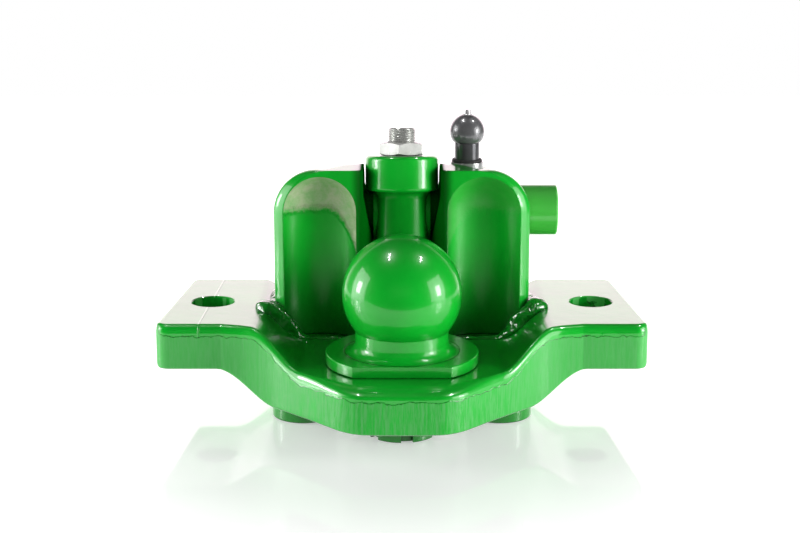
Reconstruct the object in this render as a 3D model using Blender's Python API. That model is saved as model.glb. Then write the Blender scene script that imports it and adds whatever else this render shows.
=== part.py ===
"""Tractor ball hitch with an 80 mm ball and a swing-back hold-down.

Metres, +Z up. The origin is the middle of the ball shank's lower end, on the surface that the
hitch stands on. -Y is the towed side, where the ball is, and +X is the side with the plunger.
"""

import math

import bmesh
import bpy
from mathutils import Vector

MM = 0.001
GAP = 0.3 * MM  # between pieces that touch
RUNNING = 0.25 * MM  # radial, between pieces that turn or slide

# Ball
BALL_R = 40 * MM
BALL_Z = 97 * MM
NECK_R = 31.5 * MM
DISC_R = 51.5 * MM
DISC_TOP_Z = 58 * MM
DISC_FLAT_Y = -40 * MM
SHANK_R = 22.5 * MM
THREAD_R = 20.5 * MM

# Base plate: 30 mm plate, joggled up at both sides
PLATE_TOP_Z = 50 * MM
PLATE_T = 30 * MM
FLANGE_RISE = 22.7 * MM  # of the upper face; the lower face rises a little less
UNDER_RISE = 21.6 * MM
TOP_BEND = (66 * MM, 102 * MM)  # |x| where the upper face starts and stops rising
UNDER_BEND = (85 * MM, 126 * MM)
FLANGE_HALF = 167.3 * MM
FLANGE_HALF_BACK = 155 * MM
FLANGE_FRONT_Y = 8 * MM
FLANGE_BACK_Y = 138 * MM
CENTRE_BACK_Y = 121 * MM
CORNER_R = 9 * MM
NOSE_Y = -68 * MM
# (|x|, y) of the front edge, from the nose's corner round to the flange
FRONT_EDGE = [(29, -66), (39, -60), (49, -49.5), (61, -36), (87, -9.5), (105, 2.5), (123, 8)]
BOLT_X = 134 * MM
BOLT_Y = 72 * MM
BOLT_HOLE_R = 15 * MM
BOSS_R = 22.5 * MM
BOSS_X = 68 * MM
BOSS_Y = 39 * MM

# Uprights
UPRIGHT_FRONT_Y = 55 * MM
UPRIGHT_BACK_Y = 116 * MM
UPRIGHT_TOP_Z = 170 * MM
UPRIGHT_IN = 20.3 * MM
UPRIGHT_OUT = 89.2 * MM
UPRIGHT_OUT_FRONT = 82.6 * MM
UPRIGHT_SHOULDER_R = 31 * MM
UPRIGHT_INNER_R = 14 * MM
NICHE_X = 56.8 * MM
NICHE_R = 30 * MM
NICHE_HALF_WIDTH = 25.2 * MM
NICHE_TOP_Z = 165.6 * MM

# Hold-down and its axle
AXLE_Y = 90 * MM
AXLE_Z = 135.6 * MM
AXLE_R = 15 * MM
AXLE_LEFT_X = -85 * MM
AXLE_HEAD_R = 18 * MM
AXLE_HEAD_X = 80 * MM
AXLE_HEAD_SEAT_X = 79.7 * MM  # of the counterbore that takes the head
AXLE_RIGHT_X = 110 * MM
BUSH_R = 17 * MM
BUSH_START_X = 60 * MM
BUSH_RIGHT_X = 79.2 * MM
RECESS_R = 22 * MM  # of the washer and circlip in the left upright
RECESS_X = -75.5 * MM
SWING = math.radians(82.5)  # from the upright position back to the open one
LEAN = math.radians(7.5)  # of the column behind vertical, in the upright position
COLUMN_SET = -16.4 * MM  # from the axle to the column's middle, across the column
COLUMN_R = 18.4 * MM
COLUMN_BOTTOM = -23.3 * MM  # this and the next heights are along the column, from the axle
COLLAR_R = 25.5 * MM
COLLAR_LOW = 14.4 * MM
COLLAR_HIGH = 39.3 * MM
STUD_R = 10 * MM
STUD_LOW = 17 * MM
STUD_HIGH = 58.6 * MM
HUB_R = 24 * MM
HUB_HALF = 19.9 * MM
SWEEP_HALF = 26.8 * MM  # half of the width that the collar needs as it swings back
SWEEP_LOW_Z = 116 * MM
SWEEP_KNEE_Z = 151 * MM
LOCK_NUT_AF = 30 * MM
LOCK_NUT_H = 8.8 * MM
LOCK_NUT_TURN = math.radians(-96.4)
ROLL_PIN_R = 4 * MM
ROLL_PIN_FRONT = -24 * MM
ROLL_PIN_BACK = 23.5 * MM
STOP_R = 8 * MM
STOP_Y = 70 * MM
STOP_HALF = 29.5 * MM

# Locking plunger
PLUNGER_X = 46 * MM
PLUNGER_BOSS_R = 15.5 * MM
PLUNGER_BOSS_Z = 165.6 * MM
HOUSING_R = 11 * MM
RING_R = 11.8 * MM
RING_TOP_Z = 170.6 * MM
PIN_R = 5 * MM
PIN_TIP_Z = 153.6 * MM
STEM_R = 3 * MM
STEM_TOP_Z = 207.3 * MM
SHOULDER_Z = (162.8 * MM, 165.3 * MM)
CAP_Z = 180.3 * MM  # underside of the cap that the spring pushes on
SPRING_R = 4.75 * MM
SPRING_WIRE_R = 0.75 * MM
SPRING_TURNS = 6
SLEEVE_R = 8.7 * MM
SLEEVE_Z = (169.8 * MM, 184.2 * MM)
KNOB_R = 12.3 * MM
KNOB_Z = 191.9 * MM
KNOB_FLAT_Z = 184.5 * MM
LOCK_HOLE_R = 5.5 * MM
LOCK_HOLE_DEPTH = 6.2 * MM

# Castle nut under the plate
NUT_AF = 65 * MM
NUT_CROWN_R = 24 * MM
NUT_CROWN_H = 9.5 * MM
NUT_SLOT = 8 * MM
NUT_SLOT_H = 7.5 * MM
NUT_TURN = math.radians(8.3)
SPLIT_PIN_Z = 4.2 * MM
SPLIT_PIN_R = 2 * MM

PAINT = ("green_paint", (0.022, 0.36, 0.035), 0.22, 0.0)
ZINC = ("zinc_plate", (0.72, 0.72, 0.70), 0.28, 1.0)
DARK_STEEL = ("dark_steel", (0.22, 0.22, 0.23), 0.35, 1.0)
BRIGHT_STEEL = ("bright_steel", (0.62, 0.62, 0.63), 0.22, 1.0)
BRONZE = ("bronze", (0.55, 0.36, 0.16), 0.35, 1.0)
RUBBER = ("black_rubber", (0.02, 0.02, 0.02), 0.6, 0.0)
KNOB_GREY = ("knob_grey", (0.16, 0.16, 0.165), 0.38, 0.35)


# ---------------------------------------------------------------- scene and objects


def clear_scene():
    for obj in list(bpy.data.objects):
        bpy.data.objects.remove(obj, do_unlink=True)


def make_material(node_name, look):
    """Each piece has its own material, named after the piece."""
    finish, colour, roughness, metallic = look
    material = bpy.data.materials.new(f"{node_name}_{finish}")
    material.use_nodes = True
    shader = material.node_tree.nodes["Principled BSDF"]
    shader.inputs["Base Color"].default_value = (*colour, 1.0)
    shader.inputs["Roughness"].default_value = roughness
    shader.inputs["Metallic"].default_value = metallic
    return material


def make_object(name, bm, look=None, location=(0, 0, 0), rotation=(0, 0, 0), parent=None):
    bmesh.ops.recalc_face_normals(bm, faces=bm.faces)
    mesh = bpy.data.meshes.new(name)
    bm.to_mesh(mesh)
    bm.free()
    mesh.shade_smooth()
    mesh.set_sharp_from_angle(angle=math.radians(30))
    obj = bpy.data.objects.new(name, mesh)
    bpy.context.scene.collection.objects.link(obj)
    place(obj, location, rotation, parent)
    if look:
        mesh.materials.append(make_material(name, look))
    return obj


def place(obj, location, rotation, parent):
    """With a parent, the location is from the parent and turns with it."""
    obj.rotation_euler = rotation
    obj.location = Vector(location)
    obj.parent = parent


def make_empty(name, location, rotation=(0, 0, 0)):
    empty = bpy.data.objects.new(name, None)
    empty.location = location
    empty.rotation_euler = rotation
    empty.empty_display_size = 0.02
    bpy.context.scene.collection.objects.link(empty)
    return empty


def make_cutter(name, bm, location=(0, 0, 0), rotation=(0, 0, 0), parent=None):
    cutter = make_object(f"cutter_{name}", bm, None, location, rotation, parent)
    cutter.hide_render = True
    cutter.display_type = "WIRE"
    return cutter


def combine(target, helper, operation="DIFFERENCE"):
    modifier = target.modifiers.new(helper.name, "BOOLEAN")
    modifier.operation = operation
    modifier.object = helper


# ---------------------------------------------------------------- shapes

ALONG_X = (0, math.radians(90), 0)  # turns a shape's local +Z to world +X
ALONG_Y = (math.radians(-90), 0, 0)  # turns a shape's local +Z to world +Y


def loft(sections, closed=False):
    """Joins equal rings of points. The two ends are capped unless the rings form a closed loop."""
    bm = bmesh.new()
    rings = [[bm.verts.new(point) for point in section] for section in sections]
    pairs = list(zip(rings, rings[1:]))
    if closed:
        pairs.append((rings[-1], rings[0]))
    count = len(rings[0])
    for first, second in pairs:
        for i in range(count):
            j = (i + 1) % count
            bm.faces.new((first[i], first[j], second[j], second[i]))
    if not closed:
        bm.faces.new(rings[0])
        bm.faces.new(rings[-1])
    return bm


def revolve(profile, segments=48):
    """Turns a closed (radius, z) outline round local Z. Points on the axis are shared."""
    bm = bmesh.new()
    rings = []
    for radius, z in profile:
        if radius < 1e-7:
            rings.append([bm.verts.new((0, 0, z))])
            continue
        angles = [math.tau * i / segments for i in range(segments)]
        rings.append([bm.verts.new((radius * math.cos(a), radius * math.sin(a), z)) for a in angles])
    for first, second in zip(rings, rings[1:] + rings[:1]):
        for i in range(segments):
            j = (i + 1) % segments
            corners = [first[i % len(first)], first[j % len(first)]]
            corners += [second[j % len(second)], second[i % len(second)]]
            corners = list(dict.fromkeys(corners))
            if len(corners) > 2:
                bm.faces.new(corners)
    return bm


def prism(outline, low, high):
    """Extrudes an (x, y) outline along local Z."""
    return loft([[(x, y, z) for x, y in outline] for z in (low, high)])


def cylinder(radius, low, high, segments=48):
    return revolve([(0, low), (radius, low), (radius, high), (0, high)], segments)


def ring_profile(inner, outer, low, high):
    return [(inner, low), (outer, low), (outer, high), (inner, high)]


def box(low, high):
    (x0, y0, z0), (x1, y1, z1) = low, high
    return prism([(x0, y0), (x1, y0), (x1, y1), (x0, y1)], z0, z1)


def arc(centre, radius, start, stop, steps):
    """(u, v) points of an arc, with its angles in degrees."""
    angles = [math.radians(start + (stop - start) * i / steps) for i in range(steps + 1)]
    return [(centre[0] + radius * math.cos(a), centre[1] + radius * math.sin(a)) for a in angles]


def hexagon(across_flats, turn=0.0):
    radius = across_flats / math.sqrt(3)
    angles = [turn + math.tau * i / 6 for i in range(6)]
    return [(radius * math.cos(a), radius * math.sin(a)) for a in angles]


def smooth_step(t):
    t = min(max(t, 0.0), 1.0)
    return t * t * (3 - 2 * t)


def curve_through(points, steps):
    """Catmull-Rom curve through (u, v) points, ending on the first and the last of them."""
    ends = [points[0]] + points + [points[-1]]
    found = []
    for a, b, c, d in zip(ends, ends[1:], ends[2:], ends[3:]):
        for i in range(steps):
            t = i / steps
            found.append(tuple(
                0.5 * (2 * q + (r - p) * t + (2 * p - 5 * q + 4 * r - s) * t**2
                       + (3 * q - p - 3 * r + s) * t**3)
                for p, q, r, s in zip(a, b, c, d)
            ))
    return found + [points[-1]]


def tube(name, points, radius, look, location=(0, 0, 0), parent=None):
    """A round wire along the points, with closed ends."""
    curve = bpy.data.curves.new(name, "CURVE")
    curve.dimensions = "3D"
    curve.bevel_depth = radius
    curve.bevel_resolution = 2
    curve.use_fill_caps = True
    spline = curve.splines.new("POLY")
    spline.points.add(len(points) - 1)
    for spot, point in zip(spline.points, points):
        spot.co = (*point, 1.0)
    curve.materials.append(make_material(name, look))
    obj = bpy.data.objects.new(name, curve)
    bpy.context.scene.collection.objects.link(obj)
    place(obj, location, (0, 0, 0), parent)
    return obj


# ---------------------------------------------------------------- base plate


def plate_top(x):
    start, stop = TOP_BEND
    return PLATE_TOP_Z + FLANGE_RISE * smooth_step((abs(x) - start) / (stop - start))


def plate_under(x):
    start, stop = UNDER_BEND
    return PLATE_TOP_Z - PLATE_T + UNDER_RISE * smooth_step((abs(x) - start) / (stop - start))


def corner_set_back(x, half_width):
    """How far a rounded plan corner has come in from the straight edge at |x|."""
    into = abs(x) - (half_width - CORNER_R)
    return CORNER_R - math.sqrt(max(CORNER_R**2 - max(into, 0) ** 2, 0))


def plate_section(x_front, y_front):
    """Ring of points across the plate, from its front edge to its back edge."""
    side = math.copysign(1, x_front)
    outer_share = max(abs(x_front) - 122 * MM, 0) / (FLANGE_HALF - 122 * MM)
    x_back = x_front - side * outer_share * (FLANGE_HALF - FLANGE_HALF_BACK)
    y_front += corner_set_back(x_front, FLANGE_HALF)
    flange_share = smooth_step((abs(x_front) - 62 * MM) / (34 * MM))
    y_back = CENTRE_BACK_Y + (FLANGE_BACK_Y - CENTRE_BACK_Y) * flange_share
    y_back -= corner_set_back(x_front, FLANGE_HALF)
    top, under = plate_top(x_front), plate_under(x_front)
    nose_share = 1 - smooth_step((abs(x_front) - 34 * MM) / (30 * MM))
    round_y = 5 * MM + 11 * MM * nose_share
    round_z = 6 * MM
    edge = [(y_front + round_y * (1 - u), top - round_z * (1 - v)) for u, v in arc((0, 0), 1, 0, 90, 4)]
    low_edge = 2 * MM
    yz = edge + [(y_back - low_edge, top), (y_back, top - low_edge), (y_back, under + low_edge)]
    yz += [(y_back - low_edge, under), (y_front + low_edge, under), (y_front, under + low_edge)]
    span = y_back - y_front
    return [(x_front + (x_back - x_front) * (y - y_front) / span, y, z) for y, z in yz]


def front_edge_points():
    """(x, y) of the front edge from the middle of the nose to the right-hand end."""
    nose = [(x * MM, NOSE_Y) for x in (0, 11, 20)]
    bend = curve_through([(x * MM, y * MM) for x, y in FRONT_EDGE], 4)
    flange = [(x * MM, FLANGE_FRONT_Y) for x in (130, 138, 147, 154)]
    corner_start = FLANGE_HALF - CORNER_R
    corner = [corner_start + CORNER_R * math.sin(math.radians(18 * i)) for i in range(6)]
    return nose + bend + flange + [(x, FLANGE_FRONT_Y) for x in corner]


def make_base_plate():
    right = front_edge_points()
    left = [(-x, y) for x, y in reversed(right[1:])]
    bm = loft([plate_section(x, y) for x, y in left + right])
    plate = make_object("base_plate", bm, PAINT)
    over = (0, 90 * MM)
    combine(plate, make_cutter("shank_bore", cylinder(SHANK_R + GAP, *over)))
    for name, x in (("left", -BOLT_X), ("right", BOLT_X)):
        hole = make_cutter(f"bolt_hole_{name}", cylinder(BOLT_HOLE_R, *over, 40), (x, BOLT_Y, 0))
        combine(plate, hole)


def make_bosses():
    top = PLATE_TOP_Z - PLATE_T - GAP
    chamfer = 1.5 * MM
    profile = [(0, 0), (BOSS_R - chamfer, 0), (BOSS_R, chamfer), (BOSS_R, top), (0, top)]
    for name, x in (("left", -BOSS_X), ("right", BOSS_X)):
        make_object(f"locating_boss_{name}", revolve(profile), PAINT, (x, BOSS_Y, 0))


# ---------------------------------------------------------------- ball and its nut


def ball_profile():
    """From the shank's lower end up to the top of the ball, on the axis at both ends."""
    plate_under_z = PLATE_TOP_Z - PLATE_T
    disc_z = PLATE_TOP_Z + GAP
    edge = 1.2 * MM
    fillet = 7 * MM
    neck_angle = -math.degrees(math.acos(NECK_R / BALL_R))
    start = 4 * MM
    profile = [(0, 0), (THREAD_R - 1.5 * MM, 0), (THREAD_R, 1.5 * MM), (THREAD_R, plate_under_z - GAP)]
    profile += [(SHANK_R, plate_under_z + MM), (SHANK_R, disc_z), (DISC_R, disc_z)]
    profile += [(DISC_R, DISC_TOP_Z - edge), (DISC_R - edge, DISC_TOP_Z)]
    profile += arc((NECK_R + fillet, DISC_TOP_Z + fillet), fillet, 270, 180, 4)
    profile += arc((0, BALL_Z), BALL_R, neck_angle - start, 90, 18)[1:-1]
    return profile + [(0, BALL_Z + BALL_R)]


def slot_angle(number):
    return NUT_TURN - math.pi / 2 + number * math.pi / 3


def make_ball():
    ball = make_object("hitch_ball", revolve(ball_profile(), 40), PAINT)
    flat = box((-70 * MM, -70 * MM, PLATE_TOP_Z - 5 * MM), (70 * MM, DISC_FLAT_Y, DISC_TOP_Z + 2 * MM))
    combine(ball, make_cutter("disc_flat", flat))
    hole = cylinder(SPLIT_PIN_R + GAP, -40 * MM, 40 * MM, 16)
    turn = (0, math.pi / 2, slot_angle(1))
    combine(ball, make_cutter("split_pin_hole", hole, (0, 0, SPLIT_PIN_Z), turn))


def make_ball_nut():
    top = PLATE_TOP_Z - PLATE_T - GAP
    nut = make_object("ball_nut", prism(hexagon(NUT_AF), NUT_CROWN_H, top), PAINT)
    crown = make_cutter("crown", cylinder(NUT_CROWN_R, 0, NUT_CROWN_H + 2 * MM))
    combine(nut, crown, "UNION")
    bore = cylinder(THREAD_R + GAP, -5 * MM, top + 5 * MM)
    combine(nut, make_cutter("nut_bore", bore))
    for number in range(3):
        half = NUT_SLOT / 2
        slot = box((-30 * MM, -half, -5 * MM), (30 * MM, half, NUT_SLOT_H))
        turn = (0, 0, slot_angle(number))
        combine(nut, make_cutter(f"nut_slot_{number}", slot, (0, 0, 0), turn))


def make_split_pin():
    """One bent wire: an eye outside the crown, a straight run through it and a bent leg."""
    out = Vector((math.cos(slot_angle(1)), math.sin(slot_angle(1)), 0))
    aside = Vector((-out.y, out.x, 0))
    eye_r = 4 * MM
    eye_at = NUT_CROWN_R + 3 * MM + eye_r
    bend_r = 5 * MM
    leg_at = -(NUT_CROWN_R + 1 * MM)
    path = [(eye_at + u, v) for u, v in arc((0, 0), eye_r, 30, 165, 8)]
    path += [(NUT_CROWN_R + 1 * MM, 0), (0, 0), (leg_at, 0)]
    path += arc((leg_at, -bend_r), bend_r, 90, 180, 5)[1:]
    path += [(leg_at - bend_r, -bend_r - 7 * MM)]
    points = [out * u + aside * v for u, v in path]
    tube("split_pin", points, SPLIT_PIN_R, ZINC, (0, 0, SPLIT_PIN_Z))


# ---------------------------------------------------------------- uprights


def upright_inner(y):
    """|x| of the inner face, whose front corner is rounded."""
    into = max(UPRIGHT_FRONT_Y + UPRIGHT_INNER_R - y, 0)
    return UPRIGHT_IN + UPRIGHT_INNER_R - math.sqrt(max(UPRIGHT_INNER_R**2 - into**2, 0))


def upright_outer(y):
    """|x| of the outer face: it flares out behind the front edge and comes in at the back."""
    flare = smooth_step(0.5 + 0.5 * (y - UPRIGHT_FRONT_Y) / (7 * MM)) * 2 - 1
    back = 10 * MM
    into = max(y - (UPRIGHT_BACK_Y - back), 0)
    set_in = back - math.sqrt(max(back**2 - into**2, 0))
    return UPRIGHT_OUT_FRONT + (UPRIGHT_OUT - UPRIGHT_OUT_FRONT) * flare - 0.8 * set_in


def upright_top(x, y):
    """The top is flat for a depth that grows towards the axle's hub, and then falls away."""
    flat_depth = 24 * MM - 20 * MM * smooth_step((x - 36 * MM) / (20 * MM))
    past = max(y - UPRIGHT_FRONT_Y - flat_depth, 0)
    return UPRIGHT_TOP_Z - past**2 / (90 * MM)


def upright_section(y):
    inner, outer = upright_inner(y), upright_outer(y)
    shoulder_x = outer - UPRIGHT_SHOULDER_R
    shoulder_z = upright_top(shoulder_x, y) - UPRIGHT_SHOULDER_R
    bottom = [inner + (outer - inner) * i / 14 for i in range(15)]
    points = [(x, plate_top(x) + GAP * 2) for x in bottom]
    points += arc((shoulder_x, shoulder_z), UPRIGHT_SHOULDER_R, 0, 90, 9)
    edge = 3 * MM
    top = [shoulder_x + (inner + edge - shoulder_x) * i / 6 for i in range(1, 7)]
    points += [(x, upright_top(x, y)) for x in top]
    inner_top = upright_top(inner, y)
    points += [(inner + edge * 0.3, inner_top - edge * 0.3), (inner, inner_top - edge)]
    return [(x, y, z) for x, z in points]


def upright_stations():
    front = [UPRIGHT_FRONT_Y + d * MM for d in (0, 0.8, 2.4, 4.6, 7.5, 11, 14, 19, 25, 32, 41)]
    back = [UPRIGHT_BACK_Y - d * MM for d in (10, 6, 3, 1, 0)]
    return front + back


def niche_cutter():
    """A round scoop with a domed top, sunk into the front face."""
    dome_z = NICHE_TOP_Z - NICHE_HALF_WIDTH
    profile = [(0, 30 * MM), (NICHE_R, 30 * MM)] + arc((0, dome_z), NICHE_R, 0, 90, 8)[:-1]
    return revolve(profile + [(0, dome_z + NICHE_R)], 48)


def niche_centre_y():
    return UPRIGHT_FRONT_Y - math.sqrt(NICHE_R**2 - NICHE_HALF_WIDTH**2)


def sweep_cutter():
    """Room between the uprights for the collar, which is wider than the column, as it swings."""
    low, knee, top = SWEEP_LOW_Z, SWEEP_KNEE_Z, 200 * MM
    right = [(UPRIGHT_IN - MM, low), (UPRIGHT_IN, low), (SWEEP_HALF, knee), (SWEEP_HALF, top)]
    outline = right + [(-x, z) for x, z in reversed(right)]
    front, back = 40 * MM, UPRIGHT_BACK_Y + 10 * MM
    return loft([[(x, y, z) for x, z in outline] for y in (front, back)])


def axle_bore_profile(side):
    """Stepped bore along the axle: running clearance, bush seat and, on the left, a recess."""
    clear = AXLE_R + 0.5 * MM
    seat = BUSH_R + GAP
    start = BUSH_START_X - GAP
    profile = [(0, 10 * MM), (clear, 10 * MM), (clear, start), (seat, start)]
    if side < 0:
        profile += [(seat, -RECESS_X), (RECESS_R, -RECESS_X), (RECESS_R, 120 * MM), (0, 120 * MM)]
    else:
        head_r = AXLE_HEAD_R + 0.4 * MM
        profile += [(seat, AXLE_HEAD_SEAT_X), (head_r, AXLE_HEAD_SEAT_X), (head_r, 120 * MM), (0, 120 * MM)]
    return profile


def make_upright(name, side):
    sections = [[(side * x, y, z) for x, y, z in upright_section(y)] for y in upright_stations()]
    upright = make_object(f"upright_{name}", loft(sections), PAINT)
    if side > 0:
        boss = cylinder(PLUNGER_BOSS_R, 156 * MM, PLUNGER_BOSS_Z)
        combine(upright, make_cutter("plunger_boss", boss, (PLUNGER_X, AXLE_Y, 0)), "UNION")
        bore_r, face_r, high = HOUSING_R + GAP, RING_R + 2 * GAP, UPRIGHT_TOP_Z + 20 * MM
        bore = [(0, AXLE_Z), (bore_r, AXLE_Z), (bore_r, PLUNGER_BOSS_Z), (face_r, PLUNGER_BOSS_Z)]
        bore = revolve(bore + [(face_r, high), (0, high)])
        combine(upright, make_cutter("plunger_bore", bore, (PLUNGER_X, AXLE_Y, 0)))
    niche = make_cutter(f"niche_{name}", niche_cutter(), (side * NICHE_X, niche_centre_y(), 0))
    combine(upright, niche)
    combine(upright, make_cutter(f"sweep_{name}", sweep_cutter()))
    bore = revolve(axle_bore_profile(side))
    turn = (0, side * math.pi / 2, 0)
    combine(upright, make_cutter(f"axle_bore_{name}", bore, (0, AXLE_Y, AXLE_Z), turn))
    hole = cylinder(STOP_R + GAP, -STOP_HALF - GAP, STOP_HALF + GAP, 32)
    combine(upright, make_cutter(f"stop_hole_{name}", hole, (0, STOP_Y, stop_z()), ALONG_X))
    port = cylinder(3 * MM + GAP, AXLE_Y + AXLE_R - 2 * MM, UPRIGHT_BACK_Y + 5 * MM, 16)
    combine(upright, make_cutter(f"grease_port_{name}", port, (side * 36 * MM, 0, AXLE_Z), ALONG_Y))


def make_grease_nipple(name, side):
    """Drive-in nipple at the back of the hub, with a hexagon drawn as a collar."""
    back = UPRIGHT_BACK_Y
    profile = [(0, back - 5 * MM), (3 * MM, back - 5 * MM), (3 * MM, back + GAP)]
    profile += [(5 * MM, back + GAP), (5 * MM, back + 3.5 * MM), (2.6 * MM, back + 4.2 * MM)]
    profile += [(2.2 * MM, back + 6.5 * MM), (3.1 * MM, back + 8 * MM), (2 * MM, back + 9.5 * MM)]
    profile += [(0, back + 9.8 * MM)]
    spot = (side * 36 * MM, 0, AXLE_Z)
    make_object(f"grease_nipple_{name}", revolve(profile, 16), ZINC, spot, ALONG_Y)


def make_bushes():
    for name, side, end in (("left", -1, -RECESS_X - GAP), ("right", 1, BUSH_RIGHT_X)):
        profile = ring_profile(AXLE_R + RUNNING, BUSH_R, BUSH_START_X, end)
        turn = (0, side * math.pi / 2, 0)
        make_object(f"axle_bush_{name}", revolve(profile, 36), BRONZE, (0, AXLE_Y, AXLE_Z), turn)


def stop_z():
    """Height at which the column's lower end rests on the bar in the upright position."""
    height = COLUMN_BOTTOM - STOP_R - GAP
    return AXLE_Z + (height - (STOP_Y - AXLE_Y) * math.sin(LEAN)) / math.cos(LEAN)


def make_stop_bar():
    edge = 1 * MM
    profile = [(0, -STOP_HALF), (STOP_R - edge, -STOP_HALF), (STOP_R, edge - STOP_HALF)]
    profile += [(STOP_R, STOP_HALF - edge), (STOP_R - edge, STOP_HALF), (0, STOP_HALF)]
    make_object("stop_bar", revolve(profile, 32), PAINT, (0, STOP_Y, stop_z()), ALONG_X)


# ---------------------------------------------------------------- hold-down, turning on the axle


def column_profile():
    fillet = 6 * MM
    corner = 3 * MM
    low, high = COLLAR_LOW, COLLAR_HIGH
    profile = [(0, COLUMN_BOTTOM), (COLUMN_R - 2 * MM, COLUMN_BOTTOM), (COLUMN_R, COLUMN_BOTTOM + 2 * MM)]
    profile += arc((COLUMN_R + fillet, low - fillet + MM), fillet, 180, 115, 5)
    profile += arc((COLLAR_R - corner, low + corner), corner, -75, 0, 4)
    profile += arc((COLLAR_R - corner, high - corner), corner, 0, 90, 4)
    return profile + [(0, high)]


def make_hold_down(pivot):
    """The parts on the axle are placed from the pivot, which leans with the column."""
    column_at = (0, COLUMN_SET, 0)
    arm = make_object("hold_down_arm", revolve(column_profile(), 36), PAINT, column_at, parent=pivot)
    hub = cylinder(HUB_R, -HUB_HALF, HUB_HALF, 40)
    combine(arm, make_cutter("hub", hub, (0, 0, 0), ALONG_X, pivot), "UNION")
    bore = cylinder(AXLE_R + GAP, -40 * MM, 40 * MM, 32)
    combine(arm, make_cutter("hub_bore", bore, (0, 0, 0), ALONG_X, pivot))
    stud_hole = cylinder(STUD_R + GAP, STUD_LOW - GAP, 80 * MM, 28)
    combine(arm, make_cutter("stud_hole", stud_hole, column_at, parent=pivot))
    pin_hole = cylinder(ROLL_PIN_R + GAP, ROLL_PIN_FRONT - GAP, 40 * MM, 20)
    combine(arm, make_cutter("pin_hole_arm", pin_hole, (0, 0, 0), ALONG_Y, pivot))


def make_stud_and_nut(pivot):
    chamfer = 1.5 * MM
    low, high = STUD_LOW, STUD_HIGH
    profile = [(0, low), (STUD_R - chamfer, low), (STUD_R, low + chamfer), (STUD_R, high - chamfer)]
    profile += [(STUD_R - chamfer, high), (0, high)]
    at = (0, COLUMN_SET, 0)
    make_object("clamp_stud", revolve(profile, 32), ZINC, at, parent=pivot)
    low = COLLAR_HIGH + GAP
    nut = prism(hexagon(LOCK_NUT_AF, LOCK_NUT_TURN), low, low + LOCK_NUT_H)
    lock_nut = make_object("lock_nut", nut, ZINC, at, parent=pivot)
    bore = cylinder(STUD_R + GAP, low - 5 * MM, low + 20 * MM, 32)
    combine(lock_nut, make_cutter("lock_nut_bore", bore, at, parent=pivot))


def axle_profile():
    """Radius against x, from the left end to the head on the right."""
    chamfer = 1.5 * MM
    groove = (-81.8 * MM, -79.6 * MM)
    groove_r = 13.9 * MM
    profile = [(0, AXLE_LEFT_X), (AXLE_R - chamfer, AXLE_LEFT_X), (AXLE_R, AXLE_LEFT_X + chamfer)]
    profile += [(AXLE_R, groove[0]), (groove_r, groove[0]), (groove_r, groove[1]), (AXLE_R, groove[1])]
    profile += [(AXLE_R, AXLE_HEAD_X), (AXLE_HEAD_R, AXLE_HEAD_X)]
    profile += [(AXLE_HEAD_R, AXLE_RIGHT_X - chamfer), (AXLE_HEAD_R - chamfer, AXLE_RIGHT_X)]
    return profile + [(0, AXLE_RIGHT_X)]


def make_axle(pivot):
    """One lock hole faces up in the upright position and the other in the open one."""
    axle = make_object("pivot_axle", revolve(axle_profile(), 36), PAINT, (0, 0, 0), ALONG_X, pivot)
    pin_hole = cylinder(ROLL_PIN_R + GAP, -40 * MM, 40 * MM, 20)
    combine(axle, make_cutter("pin_hole_axle", pin_hole, (0, 0, 0), ALONG_Y, pivot))
    low, high = AXLE_R - LOCK_HOLE_DEPTH, AXLE_R + 5 * MM
    at = (PLUNGER_X, 0, 0)
    for name, turn in (("upright", LEAN), ("open", LEAN + SWING)):
        hole = cylinder(LOCK_HOLE_R, low, high, 24)
        combine(axle, make_cutter(f"lock_hole_{name}", hole, at, (turn, 0, 0), pivot))


def make_axle_retainers(pivot):
    axis = (0, 0, 0)
    washer = ring_profile(AXLE_R + GAP, RECESS_R - 0.6 * MM, -78.3 * MM, RECESS_X - GAP)
    make_object("axle_washer", revolve(washer, 40), ZINC, axis, ALONG_X, pivot)
    inner, outer = 14.2 * MM, 18.5 * MM
    outline = arc((0, 0), outer, 25, 335, 30) + arc((0, 0), inner, 335, 25, 30)
    circlip = prism(outline, -81.5 * MM, -79.9 * MM)
    make_object("axle_circlip", circlip, DARK_STEEL, axis, ALONG_X, pivot)
    pin = cylinder(ROLL_PIN_R, ROLL_PIN_FRONT, ROLL_PIN_BACK, 20)
    make_object("axle_roll_pin", pin, DARK_STEEL, axis, ALONG_Y, pivot)


# ---------------------------------------------------------------- locking plunger


def housing_profile():
    """Screwed-in housing: a ring above the boss, a groove for the sleeve and a spring tube."""
    groove_r, tube_r, spring_room = SLEEVE_R + 0.4 * MM, 7.1 * MM, 5.9 * MM
    hole, bottom, floor = PIN_R + GAP, 152.5 * MM, 154.5 * MM
    groove_z, tube_top = 161.5 * MM, 182.3 * MM
    ring_z = PLUNGER_BOSS_Z + GAP
    profile = [(hole, bottom), (HOUSING_R, bottom), (HOUSING_R, ring_z), (RING_R, ring_z)]
    profile += [(RING_R, RING_TOP_Z - 0.8 * MM), (RING_R - 0.8 * MM, RING_TOP_Z)]
    profile += [(groove_r, RING_TOP_Z), (groove_r, groove_z), (tube_r, groove_z), (tube_r, tube_top)]
    profile += [(STEM_R + GAP, tube_top), (STEM_R + GAP, CAP_Z), (spring_room, CAP_Z)]
    return profile + [(spring_room, floor), (hole, floor)]


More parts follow.
